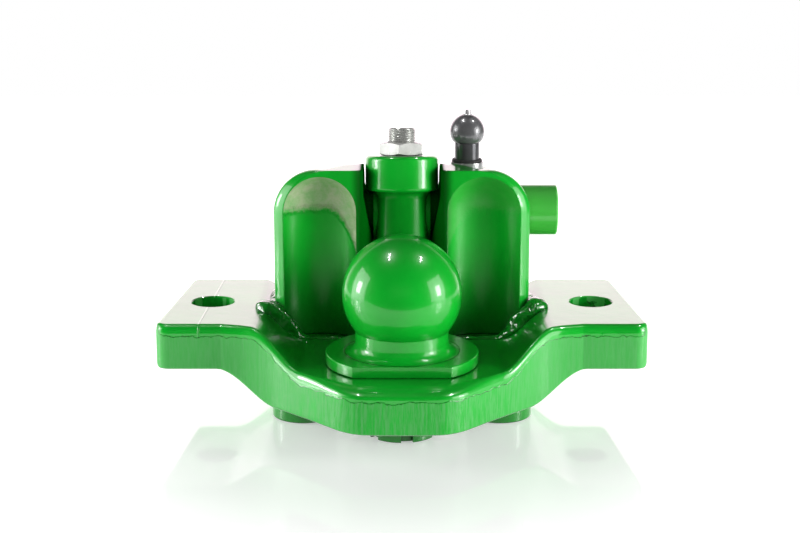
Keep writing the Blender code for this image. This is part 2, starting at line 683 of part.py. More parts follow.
def make_plunger_housing():
    at = (PLUNGER_X, AXLE_Y, 0)
    make_object("plunger_housing", revolve(housing_profile(), 32), BRIGHT_STEEL, at)
    seal_z = RING_TOP_Z + GAP
    seal = [(SLEEVE_R + GAP, seal_z), (RING_R - MM, seal_z), (RING_R - 1.4 * MM, seal_z + 1.4 * MM)]
    seal += [(SLEEVE_R + GAP, seal_z + 1.7 * MM)]
    make_object("plunger_seal", revolve(seal, 32), RUBBER, at)


def make_plunger(slide):
    """The slide's empty is on the floor below the plunger, so these heights are from the floor."""
    at = (0, 0, 0)
    low, high = SHOULDER_Z
    pin = [(0, PIN_TIP_Z), (PIN_R - MM, PIN_TIP_Z), (PIN_R, PIN_TIP_Z + 1.5 * MM), (PIN_R, low)]
    pin += [(5.6 * MM, low), (5.6 * MM, high), (STEM_R, high), (STEM_R, STEM_TOP_Z - 4 * MM)]
    pin += [(2.5 * MM, STEM_TOP_Z - 3.5 * MM), (2.5 * MM, STEM_TOP_Z - 0.8 * MM), (1.7 * MM, STEM_TOP_Z)]
    make_object("plunger_pin", revolve(pin + [(0, STEM_TOP_Z)], 24), BRIGHT_STEEL, at, parent=slide)
    sleeve = ring_profile(7.5 * MM, SLEEVE_R, *SLEEVE_Z)
    make_object("plunger_sleeve", revolve(sleeve, 32), DARK_STEEL, at, parent=slide)
    flat_angle = math.degrees(math.asin((KNOB_FLAT_Z - KNOB_Z) / KNOB_R))
    bore_top = 191 * MM
    stem_hole = STEM_R + GAP
    top_angle = math.degrees(math.acos(stem_hole / KNOB_R))
    knob = [(7.5 * MM, KNOB_FLAT_Z)] + arc((0, KNOB_Z), KNOB_R, flat_angle, top_angle, 12)
    knob += [(stem_hole, bore_top), (7.5 * MM, bore_top)]
    make_object("plunger_knob", revolve(knob, 28), KNOB_GREY, at, parent=slide)


def make_spring():
    """Compressed while the plunger is parked up; it lengthens as the pin goes down."""
    steps = 10 * SPRING_TURNS
    low = SHOULDER_Z[1] + GAP + SPRING_WIRE_R
    high = CAP_Z - GAP - SPRING_WIRE_R
    points = []
    for i in range(steps + 1):
        angle = math.tau * SPRING_TURNS * i / steps
        height = low + (high - low) * i / steps
        points.append((SPRING_R * math.cos(angle), SPRING_R * math.sin(angle), height))
    tube("plunger_spring", points, SPRING_WIRE_R, BRIGHT_STEEL, (PLUNGER_X, AXLE_Y, 0))


# ---------------------------------------------------------------- assembly


def main():
    clear_scene()
    make_base_plate()
    make_bosses()
    make_ball()
    make_ball_nut()
    make_split_pin()
    for name, side in (("left", -1), ("right", 1)):
        make_upright(name, side)
        make_grease_nipple(name, side)
    make_bushes()
    make_stop_bar()
    pivot = make_empty("hold_down_pivot", (0, AXLE_Y, AXLE_Z), (-LEAN, 0, 0))
    make_hold_down(pivot)
    make_stud_and_nut(pivot)
    make_axle(pivot)
    make_axle_retainers(pivot)
    make_plunger_housing()
    make_spring()
    slide = make_empty("plunger_slide", (PLUNGER_X, AXLE_Y, 0))
    make_plunger(slide)


main()
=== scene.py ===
"""Looks of the tractor ball hitch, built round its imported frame. Metres, +Z up, front is -Y."""

import math

import bmesh
import bpy
from mathutils import Matrix, Vector, noise


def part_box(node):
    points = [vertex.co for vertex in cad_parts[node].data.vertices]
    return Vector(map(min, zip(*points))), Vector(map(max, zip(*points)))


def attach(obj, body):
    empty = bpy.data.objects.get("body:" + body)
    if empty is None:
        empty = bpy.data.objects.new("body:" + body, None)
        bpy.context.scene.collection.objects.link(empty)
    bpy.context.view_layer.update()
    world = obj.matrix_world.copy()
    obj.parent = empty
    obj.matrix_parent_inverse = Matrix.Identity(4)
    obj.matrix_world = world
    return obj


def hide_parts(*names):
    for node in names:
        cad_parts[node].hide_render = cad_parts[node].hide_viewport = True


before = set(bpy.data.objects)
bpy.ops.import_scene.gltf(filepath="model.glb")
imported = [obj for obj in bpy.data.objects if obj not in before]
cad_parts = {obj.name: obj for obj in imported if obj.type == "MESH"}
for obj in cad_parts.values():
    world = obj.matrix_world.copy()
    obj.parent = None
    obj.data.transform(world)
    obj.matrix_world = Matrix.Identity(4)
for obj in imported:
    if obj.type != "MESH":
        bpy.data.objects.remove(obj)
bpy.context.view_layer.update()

MM = 0.001

# -------------------- dimensions, as in the frame
# _R is a radius, _H a height, _AF a width across flats, _TURN an angle about the piece's axis

BALL_R = 40 * MM
BALL_Z = 97 * MM
NECK_R = 31.5 * MM
DISC_R = 51.5 * MM
DISC_TOP_Z = 58 * MM
DISC_FLAT_Y = -40 * MM
SHANK_R = 22.5 * MM
THREAD_R = 20.5 * MM

PLATE_TOP_Z = 50 * MM
PLATE_T = 30 * MM
FLANGE_RISE = 22.7 * MM
UNDER_RISE = 21.6 * MM
TOP_BEND = (66 * MM, 102 * MM)  # |x| where the upper face starts and stops rising
UNDER_BEND = (85 * MM, 126 * MM)
FLANGE_HALF = 167.3 * MM
FLANGE_HALF_BACK = 155 * MM
FLANGE_FRONT_Y = 8 * MM
FLANGE_BACK_Y = 138 * MM
CENTRE_BACK_Y = 121 * MM
CORNER_R = 9 * MM
TAPER_X = 122 * MM  # |x| where the flange starts to narrow towards its back
END_EDGE_R = 2.5 * MM
PLATE_EDGE_R = 2 * MM
ROLL_Y = 5 * MM  # the front edge's rolled-over top: its depth, how much deeper it is at the nose
ROLL_Y_AT_NOSE = 11 * MM
ROLL_Z = 6 * MM  # and its height
ROLL_CUT = 0.6  # its cut value where it meets the flame-cut face
NOSE_Y = -68 * MM
# (|x|, y) in millimetres along the front edge, from the nose to the flange
NOSE_CORNER = [(12, -68), (20, -67.4)]
FRONT_EDGE = [(29, -66), (39, -60), (49, -49.5), (61, -36), (87, -9.5), (105, 2.5), (123, 8)]
BOLT_X = 134 * MM
BOLT_Y = 72 * MM
BOLT_HOLE_R = 15 * MM
BOSS_R = 22.5 * MM
BOSS_X = 68 * MM
BOSS_Y = 39 * MM

UPRIGHT_FRONT_Y = 55 * MM
UPRIGHT_BACK_Y = 116 * MM
UPRIGHT_TOP_Z = 170 * MM
UPRIGHT_EDGE_R = 3 * MM
UPRIGHT_BACK_R = 10 * MM
RIPPLE = 4.4 * MM  # from one ripple of a weld bead to the next
UPRIGHT_IN = 20.3 * MM
UPRIGHT_OUT = 89.2 * MM
UPRIGHT_OUT_FRONT = 82.6 * MM
UPRIGHT_SHOULDER_R = 31 * MM
UPRIGHT_INNER_R = 14 * MM
NICHE_X = 56.8 * MM
NICHE_R = 30 * MM
NICHE_HALF_WIDTH = 25.2 * MM
NICHE_TOP_Z = 165.6 * MM

AXLE_Y = 90 * MM
AXLE_Z = 135.6 * MM
AXLE_R = 15 * MM
AXLE_HEAD_R = 18 * MM
AXLE_HEAD_X = 80 * MM
GROOVE_R = 13.9 * MM
GROOVE_X = (-81.8 * MM, -79.6 * MM)
AXLE_BORE_R = 15.5 * MM
BUSH_SEAT_R = 17.3 * MM
BUSH_SEAT_X = 59.7 * MM
WASHER_RECESS_R = 22 * MM
WASHER_RECESS_X = 75.5 * MM
HEAD_RECESS_R = 18.4 * MM
HEAD_RECESS_X = 79.7 * MM
ROLL_PIN_HOLE_R = 4.3 * MM
LOCK_SOCKET_R = 5.5 * MM
LEAN = math.radians(7.5)
COLUMN_SET = -16.4 * MM
COLUMN_R = 18.4 * MM
COLUMN_BOTTOM = -23.3 * MM
COLLAR_R = 25.5 * MM
COLLAR_LOW = 14.4 * MM
COLLAR_HIGH = 39.3 * MM
STUD_R = 10 * MM
STUD_LOW = 17 * MM
STUD_HIGH = 58.6 * MM
HUB_R = 24 * MM
HUB_HALF = 19.9 * MM
SWEEP_HALF = 26.8 * MM
SWEEP_LOW_Z = 116 * MM
SWEEP_KNEE_Z = 151 * MM
LOCK_NUT_AF = 30 * MM
LOCK_NUT_H = 8.8 * MM
LOCK_NUT_TURN = math.radians(-96.4)
STOP_R = 8 * MM
STOP_SOCKET_HALF = 29.8 * MM
NIPPLE_X = 36 * MM
NIPPLE_HOLE_R = 3.3 * MM

PLUNGER_X = 46 * MM
PLUNGER_BOSS_R = 15.5 * MM
PLUNGER_BOSS_Z = 165.6 * MM
RING_R = 11.8 * MM
RING_TOP_Z = 170.6 * MM
HOUSING_R = 11 * MM
SLEEVE_R = 8.7 * MM
SLEEVE_Z = (169.8 * MM, 184.2 * MM)
KNOB_R = 12.3 * MM
KNOB_Z = 191.9 * MM
KNOB_FLAT_Z = 184.5 * MM
KNOB_BORE_R = 7.5 * MM
KNOB_FLOOR_Z = 191 * MM
STEM_TOP_Z = 207.3 * MM
STEM_HOLE_R = 3.3 * MM

NUT_AF = 65 * MM
NUT_CROWN_R = 24 * MM
NUT_CROWN_H = 9.5 * MM
NUT_SLOT = 8 * MM
NUT_SLOT_H = 7.5 * MM
NUT_TURN = math.radians(8.3)

GAP = 0.3 * MM
PIVOT = Matrix.Translation((0, AXLE_Y, AXLE_Z)) @ Matrix.Rotation(-LEAN, 4, "X")
COLUMN = PIVOT @ Matrix.Translation((0, COLUMN_SET, 0))
PLUNGER = Matrix.Translation((PLUNGER_X, AXLE_Y, 0))
TO_X = Matrix.Rotation(math.pi / 2, 4, "Y")
TO_Y = Matrix.Rotation(-math.pi / 2, 4, "X")

# -------------------- materials

GREEN = (0.003, 0.47, 0.026, 1.0)
GREEN_DEEP = (0.002, 0.40, 0.020, 1.0)
# pale green for the painted highlight on the axle's head
GREEN_PAINTED_HIGHLIGHT = (0.10, 0.60, 0.085, 1.0)
# dark green for painted shade in corners, low in the scoops, on the uprights' inner faces, under the
# collar, on the axle's shaft and on the welds; also the dark line along the plate's cut border, which
# is the paint's own colour
DARK_GREEN_SHADE_AND_CUT_LINE = (0.0004, 0.075, 0.003, 1.0)
CUT_GREEN = (0.068, 0.44, 0.088, 1.0)
PAINTED_REFLECTION_BEIGE = (0.46, 0.53, 0.33, 1.0)
ZINC = (0.83, 0.83, 0.80, 1.0)
STUD_ZINC = (0.62, 0.63, 0.60, 1.0)
BRIGHT = (0.72, 0.72, 0.72, 1.0)
DARK = (0.16, 0.16, 0.17, 1.0)
BRONZE = (0.55, 0.36, 0.16, 1.0)
RUBBER = (0.012, 0.012, 0.012, 1.0)
RUBBER_WORN = (0.03, 0.03, 0.03, 1.0)
KNOB_GREY = (0.13, 0.132, 0.136, 1.0)
KNOB_FLAKE = (0.22, 0.222, 0.23, 1.0)
WHITE = (1.0, 1.0, 1.0, 1.0)
TABLE_WHITE = (0.84, 0.84, 0.84, 1.0)
COVE_TINT = (1.0, 0.85, 0.91, 1.0)
REFLECTION_Z = 140.5 * MM  # where the painted beige reflection ends, as far out as the level |x| below or further
REFLECTION_LEVEL_X = 52 * MM
REFLECTION_DROP = 65.0  # how fast that line drops nearer the middle, in metres per square metre
SEAM_X = -138 * MM  # the rolled ridge on the left flange, at y 0, and how it leans
SEAM_SLOPE = 0.045
CORNER_REACH = 35 * MM  # how far away a surface still darkens a corner's colour, as painted shade

PAINT_ROUGH = 0.3
PAINT_SPECULAR = 0.35
PAINT_COAT = 0.8
PAINT_COAT_ROUGH = 0.045
SMALL = 1e-7  # a radius below this lies on the axis

ROOM_DIM = 0.02  # strengths of the studio's dark and bright sides
COVE_BRIGHT = 2.05


class Nodes:
    """A node tree whose nodes are added one call at a time."""

    def __init__(self, tree):
        self.tree = tree

    def add(self, kind, settings=None, **inputs):
        """Adds a node. An input is named with _ for a space, and takes a value or a socket."""
        node = self.tree.nodes.new(kind)
        for key, value in (settings or {}).items():
            setattr(node, key, value)
        for key, value in inputs.items():
            self.feed(node.inputs[key.replace("_", " ")], value)
        return node

    def feed(self, socket, value):
        if isinstance(value, bpy.types.NodeSocket):
            self.tree.links.new(value, socket)
        else:
            socket.default_value = value

    def between(self, value, low, high, to_low=0.0, to_high=1.0):
        """Maps value smoothly from low..high to to_low..to_high, held at both ends."""
        node = self.add("ShaderNodeMapRange", {"interpolation_type": "SMOOTHSTEP"})
        for index, part in enumerate((value, low, high, to_low, to_high)):
            self.feed(node.inputs[index], part)
        return node.outputs["Result"]

    def blend(self, share, first, second, kind="RGBA"):
        """The first colour or value where share is 0, and the second where it is 1."""
        node = self.add("ShaderNodeMix", {"data_type": kind})
        sockets = [socket for socket in node.inputs if socket.enabled]
        for socket, value in zip(sockets, (share, first, second)):
            self.feed(socket, value)
        return next(socket for socket in node.outputs if socket.enabled)

    def math(self, operation, first, second=0.0):
        node = self.add("ShaderNodeMath", {"operation": operation})
        self.feed(node.inputs[0], first)
        self.feed(node.inputs[1], second)
        return node.outputs[0]

    def plus(self, first, second):
        return self.math("ADD", first, second)

    def times(self, first, second):
        return self.math("MULTIPLY", first, second)

    def size_of(self, value):
        return self.math("ABSOLUTE", value)

    def split(self, vector):
        return self.add("ShaderNodeSeparateXYZ", Vector=vector).outputs


class Look(Nodes):
    """A material, with the node calls that only a material needs."""

    def __init__(self, name):
        self.material = bpy.data.materials.new(name)
        self.material.use_nodes = True
        super().__init__(self.material.node_tree)
        self.shader = self.tree.nodes["Principled BSDF"]

    def set(self, **inputs):
        for key, value in inputs.items():
            self.feed(self.shader.inputs[key.replace("_", " ")], value)

    def place(self, stretch=(1, 1, 1)):
        """Object coordinates, with another stretch along each axis."""
        where = self.add("ShaderNodeTexCoord").outputs["Object"]
        return self.add("ShaderNodeMapping", Vector=where, Scale=stretch).outputs["Vector"]

    def noise(self, scale, detail=2.0, rough=0.5, where=None, distortion=0.0):
        where = where or self.place()
        node = self.add("ShaderNodeTexNoise", Vector=where, Scale=scale, Detail=detail,
                        Roughness=rough, Distortion=distortion)
        return node.outputs["Fac"]

    def paint(self):
        """The paint's green, deeper in random patches, and darkened in corners as painted shade."""
        occlusion = self.add("ShaderNodeAmbientOcclusion", {"samples": 4}, Distance=CORNER_REACH)
        open_share = occlusion.outputs["AO"]
        patches = self.between(self.noise(22, 3), 0.35, 0.7)
        green = self.blend(patches, GREEN, GREEN_DEEP)
        return self.blend(self.between(open_share, 0.1, 0.85), DARK_GREEN_SHADE_AND_CUT_LINE, green)

    def soft_edges(self, radius):
        return self.add("ShaderNodeBevel", {"samples": 4}, Radius=radius).outputs["Normal"]

    def mesh_value(self, name):
        return self.add("ShaderNodeAttribute", {"attribute_name": name}).outputs["Fac"]

    def bump(self, height, distance, normal=None):
        node = self.add("ShaderNodeBump", Strength=1.0, Distance=distance, Height=height)
        if normal:
            self.feed(node.inputs["Normal"], normal)
        return node.outputs["Normal"]

    def surface(self, normal):
        self.set(Normal=normal, Coat_Normal=normal)


def paint_look(name, edge=0.5 * MM, peel=1.0, cast=0.0, reflection_strength=0.0, shade=None):
    """Thick glossy green paint: orange peel and, on castings, a lumpy skin.

    edge is the width of the softened edges. peel and cast are strengths, and so is the one after them,
    that of a painted beige reflection on the uprights. shade paints light and shade into the green of
    one piece.
    """
    look = Look(name)
    green = look.paint()
    look.set(Roughness=PAINT_ROUGH, IOR=1.45, Specular_IOR_Level=PAINT_SPECULAR)
    look.set(Coat_Weight=PAINT_COAT, Coat_Roughness=PAINT_COAT_ROUGH, Coat_IOR=1.5)
    normal = look.soft_edges(edge)
    if reflection_strength:
        green, normal = upright_details(look, green, normal, reflection_strength)
    if shade:
        green = shade(look, green)
    look.set(Base_Color=green)
    if cast:
        normal = look.bump(look.noise(75, 3, 0.6), 0.5 * MM * cast, normal)
    normal = look.bump(look.noise(210, 2), 0.035 * MM * peel, normal)
    look.surface(look.bump(look.noise(650, 1), 0.006 * MM * peel, normal))
    return look.material


def reflection_zone(look, where, scoop):
    """Shares of the painted beige reflection under a scoop's arch, and of the rough line where it ends.
    """
    side = look.size_of(where["X"])
    past = look.math("MAXIMUM", look.math("SUBTRACT", REFLECTION_LEVEL_X, side), 0.0)
    drop = look.times(look.times(past, past), REFLECTION_DROP)
    ragged = look.between(look.noise(330, 4, 0.8), 0.2, 0.8, -1.8 * MM, 1.8 * MM)
    height = look.plus(look.plus(where["Z"], drop), ragged)
    share = look.times(look.between(height, REFLECTION_Z - 2 * MM, REFLECTION_Z + 3 * MM), scoop)
    low = look.between(height, REFLECTION_Z - 4 * MM, REFLECTION_Z)
    high = look.between(height, REFLECTION_Z, REFLECTION_Z + 4.5 * MM, 1.0, 0.0)
    border = look.times(look.times(low, high), scoop)
    return share, border


def upright_details(look, green, normal, reflection_strength):
    """Painted shade low in the scoop and on the dull inner faces, and a painted beige reflection under
    the arch.
    """
    scoop = look.mesh_value("scoop")
    where = look.split(look.place())
    side = look.size_of(where["X"])
    outside = look.between(side, 28 * MM, 31 * MM)
    # painted shade: darker on the inner faces that look into the gap, and low in the scoop
    inner = look.between(side, 29 * MM, 37 * MM, 0.92, 0.0)
    low = look.times(look.between(where["Z"], 55 * MM, 125 * MM, 0.75, 0.0), scoop)
    green = look.blend(look.math("MAXIMUM", inner, low), green, DARK_GREEN_SHADE_AND_CUT_LINE)
    share, border = reflection_zone(look, where, scoop)
    cloudy = look.between(look.noise(110, 4, 0.7), 0.3, 0.7, 0.55, 1.0)
    green = look.blend(look.times(look.times(share, reflection_strength), cloudy), green, PAINTED_REFLECTION_BEIGE)
    shine = look.times(outside, look.between(scoop, 0, 1, PAINT_COAT, 0.3))
    look.set(Coat_Weight=shine, Coat_Roughness=look.between(scoop, 0, 1, PAINT_COAT_ROUGH, 0.25))
    look.set(Roughness=look.between(share, 0, 1, PAINT_ROUGH, 0.5))
    look.set(Specular_IOR_Level=look.between(outside, 0, 1, 0.0, PAINT_SPECULAR))
    rough = look.times(look.noise(420, 3, 0.7), border)
    return green, look.bump(rough, 1.4 * MM * reflection_strength, normal)


def shade_below_collar(look, green):
    """Painted shade under the collar: the column is darker and duller than the collar on top of it."""
    height = look.split(look.place())["Z"]
    collar = look.between(height, COLLAR_LOW - MM, COLLAR_LOW + MM)
    look.set(Coat_Weight=look.between(collar, 0, 1, 0.15, PAINT_COAT))
    look.set(Specular_IOR_Level=look.between(collar, 0, 1, 0.15, PAINT_SPECULAR))
    return look.blend(look.between(collar, 0, 1, 0.45, 0.0), green, DARK_GREEN_SHADE_AND_CUT_LINE)


def light_and_shade_on_axle(look, green):
    """Painted light on the axle: a pale painted highlight on its head, and painted shade on its dull
    shaft between the uprights.
    """
    along = look.split(look.place())["Z"]
    head = look.between(along, 70 * MM, 78 * MM)
    look.set(Coat_Weight=look.between(head, 0, 1, 0.0, PAINT_COAT))
    look.set(Specular_IOR_Level=look.between(head, 0, 1, 0.0, PAINT_SPECULAR))
    green = look.blend(head, DARK_GREEN_SHADE_AND_CUT_LINE, green)
    return look.blend(look.between(head, 0, 1, 0.0, 0.75), green, GREEN_PAINTED_HIGHLIGHT)


def cut_share(look, where):
    """1 on the flame-cut faces, with a ragged border, and on the flanges' ends; 0 on rolled ones."""
    cut = look.mesh_value("cut")
    ragged = look.between(look.noise(140, 3, 0.6), 0.2, 0.8, -0.14, 0.14)
    cut = look.between(look.plus(cut, ragged), 0.72, 0.82)
    facing = look.split(look.add("ShaderNodeTexCoord").outputs["Normal"])
    facing_out = look.between(look.size_of(facing["X"]), 0.6, 0.75)
    far_out = look.between(look.size_of(where["X"]), 148 * MM, 152 * MM)
    return look.math("MAXIMUM", cut, look.times(facing_out, far_out))


def plate_look(name):
    """Paint over a flame-cut plate: the cut faces are paler, duller and ridged from top to bottom."""
    look = Look(name)
    where = look.split(look.add("ShaderNodeTexCoord").outputs["Object"])
    cut = cut_share(look, where)
    spot = look.add("ShaderNodeCombineXYZ", X=look.mesh_value("along"))
    look.feed(spot.inputs["Z"], look.times(where["Z"], 0.1))
    lines = look.noise(520, 3, 0.7, spot.outputs["Vector"], 0.1)
    coarse = look.noise(120, 2, 0.5, spot.outputs["Vector"], 0.6)
    green = look.paint()
    nose = look.between(look.size_of(where["X"]), 50 * MM, 100 * MM, 1.0, 0.35)
    pale = look.blend(look.times(look.between(lines, 0.35, 0.65), nose), CUT_GREEN, green)
    # rim: a dark line along the cut face's ragged border, the paint's own colour
    rim = look.times(look.between(cut, 0.0, 0.45), look.between(cut, 0.5, 0.95, 1.0, 0.0))
    look.set(Base_Color=look.blend(rim, look.blend(cut, green, pale), DARK_GREEN_SHADE_AND_CUT_LINE))
    look.set(IOR=1.5, Roughness=look.between(cut, 0, 1, 0.28, 0.5))
    look.set(Specular_IOR_Level=PAINT_SPECULAR)
    look.set(Coat_Weight=look.between(cut, 0, 1, 1.0, 0.3), Coat_Roughness=0.05, Coat_IOR=1.5)
    ridges = look.times(look.plus(look.times(lines, 0.5), coarse), nose)
    normal = look.bump(look.times(ridges, cut), 0.4 * MM)
    normal = look.bump(look.noise(60, 3, 0.55), 0.2 * MM, normal)
    pits = look.add("ShaderNodeTexVoronoi", Vector=look.place(), Scale=55.0).outputs["Distance"]
    normal = look.bump(look.between(pits, 0.0, 0.07), 0.12 * MM, normal)
    rolled = look.between(cut, 0.0, 0.2, 1.0, 0.0)
    seam_x = look.plus(look.times(where["Y"], SEAM_SLOPE), SEAM_X)
    from_seam = look.size_of(look.math("SUBTRACT", where["X"], seam_x))
    seam = look.times(look.between(from_seam, 0.2 * MM, 0.9 * MM, 1.0, 0.0), rolled)
    normal = look.bump(seam, 0.35 * MM, normal)
    look.surface(look.bump(look.noise(230, 2), 0.05 * MM, normal))
    return look.material


def bead_look(name):
    """Painted weld metal, its green darkened as painted shade."""
    look = Look(name)
    look.set(Base_Color=look.blend(0.6, look.paint(), DARK_GREEN_SHADE_AND_CUT_LINE), Roughness=0.25)
    look.set(Coat_Weight=1.0, Coat_Roughness=0.05, Coat_IOR=1.55)
    look.surface(look.bump(look.noise(170, 2, 0.5), 0.55 * MM))
    return look.material


def metal_look(name, colour, rough=(0.2, 0.35), grain=(1, 1, 1), scratch=0.02 * MM,
               edge=0.25 * MM, metallic=1.0):
    """Bare or plated metal with machining grain, stretched along an axis."""
    look = Look(name)
    lines = look.noise(900, 3, 0.6, look.place(grain))
    clouds = look.between(look.noise(90, 3), 0.35, 0.7)
    darker = tuple(part * 0.8 for part in colour[:3]) + (1.0,)
    look.set(Base_Color=look.blend(clouds, colour, darker), Metallic=metallic)
    look.set(Roughness=look.between(lines, 0.2, 0.8, *rough))
    look.surface(look.bump(lines, scratch, look.soft_edges(edge)))
    return look.material


def knob_look(name):
    """Dark grey satin coating with a fine metallic sparkle."""
    look = Look(name)
    flakes = look.between(look.noise(2600, 1), 0.5, 0.75)
    look.set(Base_Color=look.blend(flakes, KNOB_GREY, KNOB_FLAKE))
    look.set(Metallic=0.3, Roughness=look.between(look.noise(70, 2), 0.3, 0.7, 0.3, 0.4))
    look.set(Coat_Weight=1.0, Coat_Roughness=0.11)
    look.surface(look.bump(look.noise(700, 2), 0.015 * MM, look.soft_edges(0.4 * MM)))
    return look.material


def rubber_look(name):
    look = Look(name)
    look.set(Base_Color=look.blend(look.noise(300, 2), RUBBER, RUBBER_WORN))
    look.set(Roughness=look.between(look.noise(200, 2), 0.3, 0.7, 0.5, 0.7))
    look.surface(look.bump(look.noise(900, 2), 0.01 * MM))
    return look.material


# -------------------- meshes


def loft(sections):
    """A closed body through rings of points, all of one length."""
    bm = bmesh.new()
    rings = [[bm.verts.new(point) for point in section] for section in sections]
    count = len(rings[0])
    for first, second in zip(rings, rings[1:]):
        for i in range(count):
            j = (i + 1) % count
            bm.faces.new((first[i], first[j], second[j], second[i]))
    bm.faces.new(rings[0])
    bm.faces.new(rings[-1])
    return bm


def revolve(profile, segments=128):
    """The closed (radius, z) profile turned about the Z axis."""
    bm = bmesh.new()
    rings = []
    for radius, z in profile:
        if radius < SMALL:
            rings.append([bm.verts.new((0, 0, z))])
            continue
        angles = [math.tau * i / segments for i in range(segments)]
        rings.append([bm.verts.new((radius * math.cos(a), radius * math.sin(a), z)) for a in angles])
    for first, second in zip(rings, rings[1:] + rings[:1]):
        for i in range(segments):
            j = (i + 1) % segments
            corners = [first[i % len(first)], first[j % len(first)]]
            corners += [second[j % len(second)], second[i % len(second)]]
            corners = list(dict.fromkeys(corners))
            if len(corners) > 2:
                bm.faces.new(corners)
    return bm


def prism(outline, low, high):
    return loft([[(x, y, z) for x, y in outline] for z in (low, high)])


def cylinder(radius, low, high, segments=96):
    return revolve([(0, low), (radius, low), (radius, high), (0, high)], segments)


def box(low, high):
    (x0, y0, z0), (x1, y1, z1) = low, high
    return prism([(x0, y0), (x1, y0), (x1, y1), (x0, y1)], z0, z1)


def arc(centre, radius, start, stop, steps):
    angles = [math.radians(start + (stop - start) * i / steps) for i in range(steps + 1)]
    return [(centre[0] + radius * math.cos(a), centre[1] + radius * math.sin(a)) for a in angles]


def rounded(profile, radius, steps=4):
    """A (radius, z) outline with its corners rounded, except for those on the axis."""
    found = []
    count = len(profile)
    for i, point in enumerate(profile):
        here = Vector(point)
        before, after = Vector(profile[i - 1]) - here, Vector(profile[(i + 1) % count]) - here
        limit = min(before.length, after.length) * 0.45
        turn = abs(before.normalized().cross(after.normalized()))
        if point[0] < SMALL or turn < 0.2:
            found.append(point)
            continue
        reach = min(radius, limit)
        first, last = here + before.normalized() * reach, here + after.normalized() * reach
        for k in range(steps + 1):
            t = k / steps
            found.append(tuple(first * (1 - t) ** 2 + here * 2 * t * (1 - t) + last * t**2))
    return found


def hexagon(across_flats, turn=0.0):
    radius = across_flats / math.sqrt(3)
    return [(radius * math.cos(turn + math.tau * i / 6), radius * math.sin(turn + math.tau * i / 6))
            for i in range(6)]


def smooth_step(t):
    t = min(max(t, 0.0), 1.0)
    return t * t * (3 - 2 * t)


def curve_through(points, steps):
    """Points of a smooth curve through those given, with steps to each stretch."""
    ends = [points[0]] + points + [points[-1]]
    found = []
    for a, b, c, d in zip(ends, ends[1:], ends[2:], ends[3:]):
        for i in range(steps):
            t = i / steps
            found.append(tuple(
                0.5 * (2 * q + (r - p) * t + (2 * p - 5 * q + 4 * r - s) * t**2
                       + (3 * q - p - 3 * r + s) * t**3)
                for p, q, r, s in zip(a, b, c, d)
            ))
    return found + [points[-1]]


def new_object(name, bm, matrix=Matrix()):
    bmesh.ops.recalc_face_normals(bm, faces=bm.faces)
    mesh = bpy.data.meshes.new(name)
    bm.to_mesh(mesh)
    bm.free()
    obj = bpy.data.objects.new(name, mesh)
    bpy.context.scene.collection.objects.link(obj)
    obj.matrix_world = matrix
    return obj


def combine(obj, steps):
    """Applies each (operation, bmesh, matrix) of steps to obj, as a Boolean."""
    helpers = []
    for index, (operation, bm, matrix) in enumerate(steps):
        helper = new_object(f"{obj.name}_helper_{index}", bm, matrix)
        helpers.append(helper)
        modifier = obj.modifiers.new(helper.name, "BOOLEAN")
        modifier.operation = operation
        modifier.object = helper
    bpy.context.view_layer.update()
    graph = bpy.context.evaluated_depsgraph_get()
    mesh = bpy.data.meshes.new_from_object(obj.evaluated_get(graph))
    obj.modifiers.clear()
    obj.data = mesh
    for helper in helpers:
        bpy.data.objects.remove(helper, do_unlink=True)


def dress(obj, material, body, nodes=(), sharp=32):
    """Shades the piece, gives it its material and ties it to the frame."""
    obj.data.materials.clear()
    obj.data.materials.append(material)
    obj.data.shade_smooth()
    obj.data.set_sharp_from_angle(angle=math.radians(sharp))
    weighted = obj.modifiers.new("weighted_normals", "WEIGHTED_NORMAL")
    weighted.keep_sharp = True
    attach(obj, body)
    if nodes:
        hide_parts(*nodes)


# -------------------- base plate


def plate_top(x):
    start, stop = TOP_BEND
    return PLATE_TOP_Z + FLANGE_RISE * smooth_step((abs(x) - start) / (stop - start))


def plate_under(x):
    start, stop = UNDER_BEND
    return PLATE_TOP_Z - PLATE_T + UNDER_RISE * smooth_step((abs(x) - start) / (stop - start))


def set_back(x, half_width, radius):
    """How far a rounded corner has come in from the straight edge at |x|."""
    into = abs(x) - (half_width - radius)
    return radius - math.sqrt(max(radius**2 - max(into, 0) ** 2, 0))


